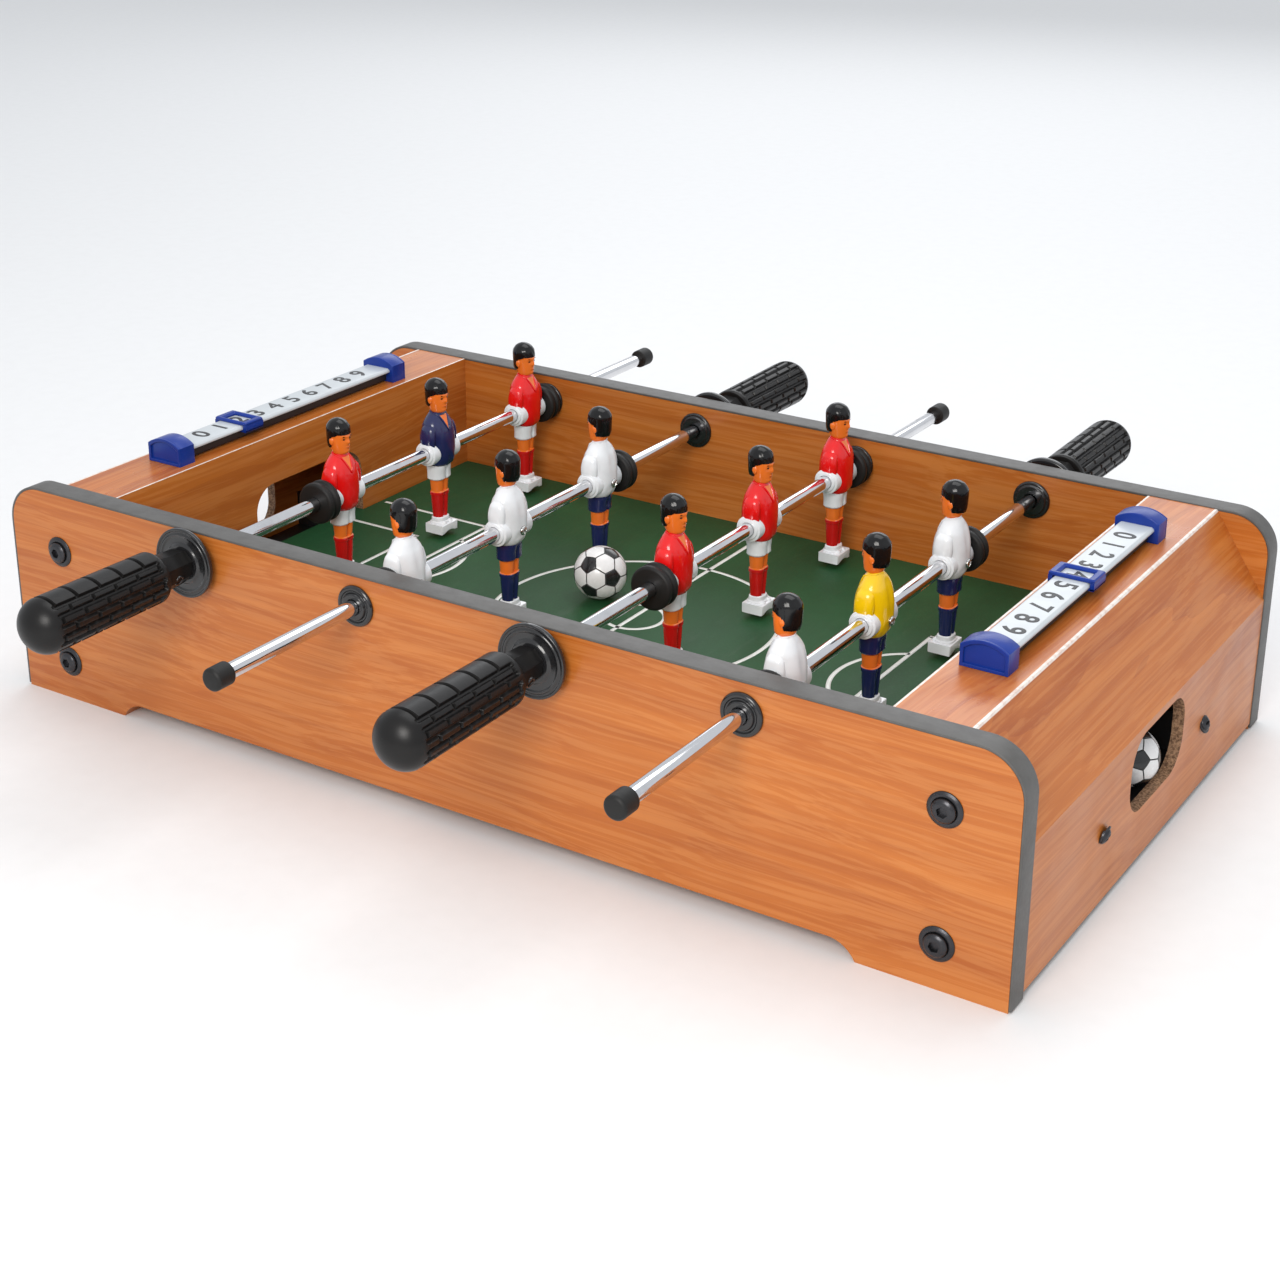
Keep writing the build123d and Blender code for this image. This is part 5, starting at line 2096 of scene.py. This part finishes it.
# ------------------------------------------------------------------------------------- balls
@dataclass
class Ball:
    """A ball of black five-sided and white six-sided patches.

    Attributes:
        node: the CAD node that it stands for.
        body: the CAD body that it rides on.
        turn: its turns about X, Y and Z in degrees.
    """

    node: str
    body: str
    turn: Point
    radius: float = 12.75
    seam: float = 0.024
    dip: float = 0.32

    def build(self) -> None:
        """Make the ball."""
        bm = self.net()
        groove = bm.verts.layers.float.new("groove")
        kind = bm.faces.layers.int.new("kind")
        for vert in bm.verts:
            vert[groove] = 1.0
        patches = list(bm.faces)
        for face in patches:
            face[kind] = 1 if len(face.verts) == 5 else 0
        bmesh.ops.inset_individual(bm, faces=patches, thickness=self.seam)
        for face in set(bm.faces) - set(patches):
            face[kind] = 2
        for face in patches:
            for vert in face.verts:
                vert[groove] = 0.0
        bmesh.ops.poke(bm, faces=patches)
        for _ in range(4):
            bmesh.ops.subdivide_edges(bm, edges=bm.edges[:], cuts=1, use_grid_fill=True)
        centre = middle(self.node)
        about_x, about_y, about_z = (
            Matrix.Rotation(math.radians(a), 3, axis) for a, axis in zip(self.turn, "XYZ")
        )
        spin = about_z @ about_y @ about_x
        bm.verts.index_update()
        points = []
        for vert in bm.verts:
            way = spin @ vert.co.normalized()
            points.append(centre + way * (self.radius - self.dip * vert[groove] ** 1.5))
        finishes = (BALL_WHITE, BALL_BLACK, BALL_SEAM)
        shape = Shape()
        faces = [[v.index for v in f.verts] for f in bm.faces]
        shape._take(np.array([p[:] for p in points]), faces, BALL_WHITE)
        shape.finish_of = [finishes[f[kind]] for f in bm.faces]
        bm.free()
        shape.piece(self.node + "_patched", self.body, self.node, slot="ball_white", crease=60.0)

    @staticmethod
    def net() -> bmesh.types.BMesh:
        """A unit icosahedron with its corners cut at a third of each edge.

        Returns:
            The mesh, with its faces outward.
        """
        bm = bmesh.new()
        bmesh.ops.create_icosphere(bm, subdivisions=1, radius=1.0)
        corners = [v.co.copy() for v in bm.verts]
        faces = [[v.index for v in f.verts] for f in bm.faces]
        bm.free()
        cut = bmesh.new()
        spots: dict[tuple[int, int], bmesh.types.BMVert] = {}
        for face in faces:
            for i, j in ((face[k], face[(k + 1) % 3]) for k in range(3)):
                for a, b in ((i, j), (j, i)):
                    if (a, b) not in spots:
                        spots[a, b] = cut.verts.new(corners[a].lerp(corners[b], 1 / 3))
        for a, b, c in faces:
            cut.faces.new([spots[k] for k in ((a, b), (b, a), (b, c), (c, b), (c, a), (a, c))])
        for corner in range(len(corners)):
            ring = [vert for (a, _), vert in spots.items() if a == corner]
            axis = corners[corner].normalized()
            side = (ring[0].co - axis * ring[0].co.dot(axis)).normalized()
            other = axis.cross(side)
            ring.sort(key=lambda v: math.atan2(v.co.dot(other), v.co.dot(side)))
            cut.faces.new(ring)
        bmesh.ops.recalc_face_normals(cut, faces=cut.faces[:])
        cut.normal_update()
        return cut


# ------------------------------------------------------------------------------------- stage
@dataclass
class Studio:
    """The pale floor, the soft lights and the camera."""

    azimuth: float = 32.593
    elevation: float = 20.924
    roll: float = 0.264
    distance: float = 1.0037
    target: Point = (-0.008368, 0.017709, 0.088777)
    lens: float = 60.454
    shift: float = -0.1

    def build(self) -> None:
        """Set the stage."""
        self.floor()
        self.lights()
        self.camera()

    @staticmethod
    def floor() -> None:
        """A wide pale floor."""
        mesh = bpy.data.meshes.new("floor")
        mesh.from_pydata([(-40, -40, 0), (40, -40, 0), (40, 40, 0), (-40, 40, 0)], [], [(0, 1, 2, 3)])
        made = bpy.data.objects.new("floor", mesh)
        mesh.materials.append(
            Moulded("floor_pale", "", (0.80, 0.80, 0.80), 0.6, 0.04, 0.05, 40.0, 0.0).material()
        )
        put_in_scene(made)

    @staticmethod
    def lights() -> None:
        """A pale sky and four large soft lamps."""
        world = bpy.data.worlds.new("studio")
        world.use_nodes = True
        sky = world.node_tree.nodes["Background"]
        sky.inputs["Color"].default_value = rgba((0.93, 0.96, 1.0))
        sky.inputs["Strength"].default_value = 0.8
        bpy.context.scene.world = world
        bpy.context.scene.view_settings.view_transform = "Standard"
        lamps = (
            ("key", (0.34, -1.02, 0.72), (0.5, 0.5), 8.5, (1.0, 0.97, 0.93)),
            ("fill", (1.7, -0.2, 0.9), (1.2, 1.2), 0.4, (1.0, 0.98, 0.96)),
            ("top", (0.0, 0.3, 1.5), (1.2, 0.9), 7.0, (1.0, 1.0, 1.0)),
            ("back", (-0.6, 1.8, 1.0), (1.6, 0.8), 7.0, (0.97, 0.98, 1.0)),
        )
        for name, place, size, power, tint in lamps:
            lamp = bpy.data.lights.new(name, "AREA")
            lamp.shape = "RECTANGLE"
            lamp.size, lamp.size_y = size
            lamp.energy = power
            lamp.color = tint
            made = bpy.data.objects.new(name, lamp)
            made.location = place
            made.rotation_euler = (Vector((0, 0, 0.05)) - Vector(place)).to_track_quat("-Z", "Y").to_euler()
            put_in_scene(made)

    def camera(self) -> None:
        """A studio camera that looks down at the table, with a faint roll."""
        az, el, roll = (math.radians(v) for v in (self.azimuth, self.elevation, self.roll))
        back = Vector((math.sin(az) * math.cos(el), -math.cos(az) * math.cos(el), math.sin(el)))
        right = Vector((math.cos(az), math.sin(az), 0.0))
        up = back.cross(right)
        side = right * math.cos(roll) + up * math.sin(roll)
        over = up * math.cos(roll) - right * math.sin(roll)
        data = bpy.data.cameras.new("camera")
        data.sensor_width = 36.0
        data.lens = self.lens
        data.shift_y = self.shift
        data.clip_start = 0.01
        made = bpy.data.objects.new("camera", data)
        spot = Vector(self.target) + back * self.distance
        rows = Matrix((side, over, back)).transposed().to_4x4()
        made.matrix_world = Matrix.Translation(spot) @ rows
        put_in_scene(made)
        bpy.context.scene.camera = made


def main() -> None:
    """Build every sub-assembly."""
    logging.basicConfig(level=logging.INFO, format="%(message)s")
    Studio().build()
    Box().build()
    PitchLines().build()
    Fasteners().build()
    ScoreRails().build()
    rods = (
        Rod(1, (Role.RED, Role.BLUE_KEEPER, Role.RED), 0.0),
        Rod(2, (Role.WHITE, Role.WHITE, Role.WHITE), 150.0),
        Rod(3, (Role.RED, Role.RED, Role.RED), 0.0),
        Rod(4, (Role.WHITE, Role.YELLOW_KEEPER, Role.WHITE), -45.0),
    )
    for rod in rods:
        rod.build()
    Ball("pitch_ball", "ball_on_pitch", (12.0, 25.0, 40.0)).build()
    Ball("return_ball", "ball_in_return", (0.0, 20.0, 15.0)).build()


if __name__ == "__main__":
    main()
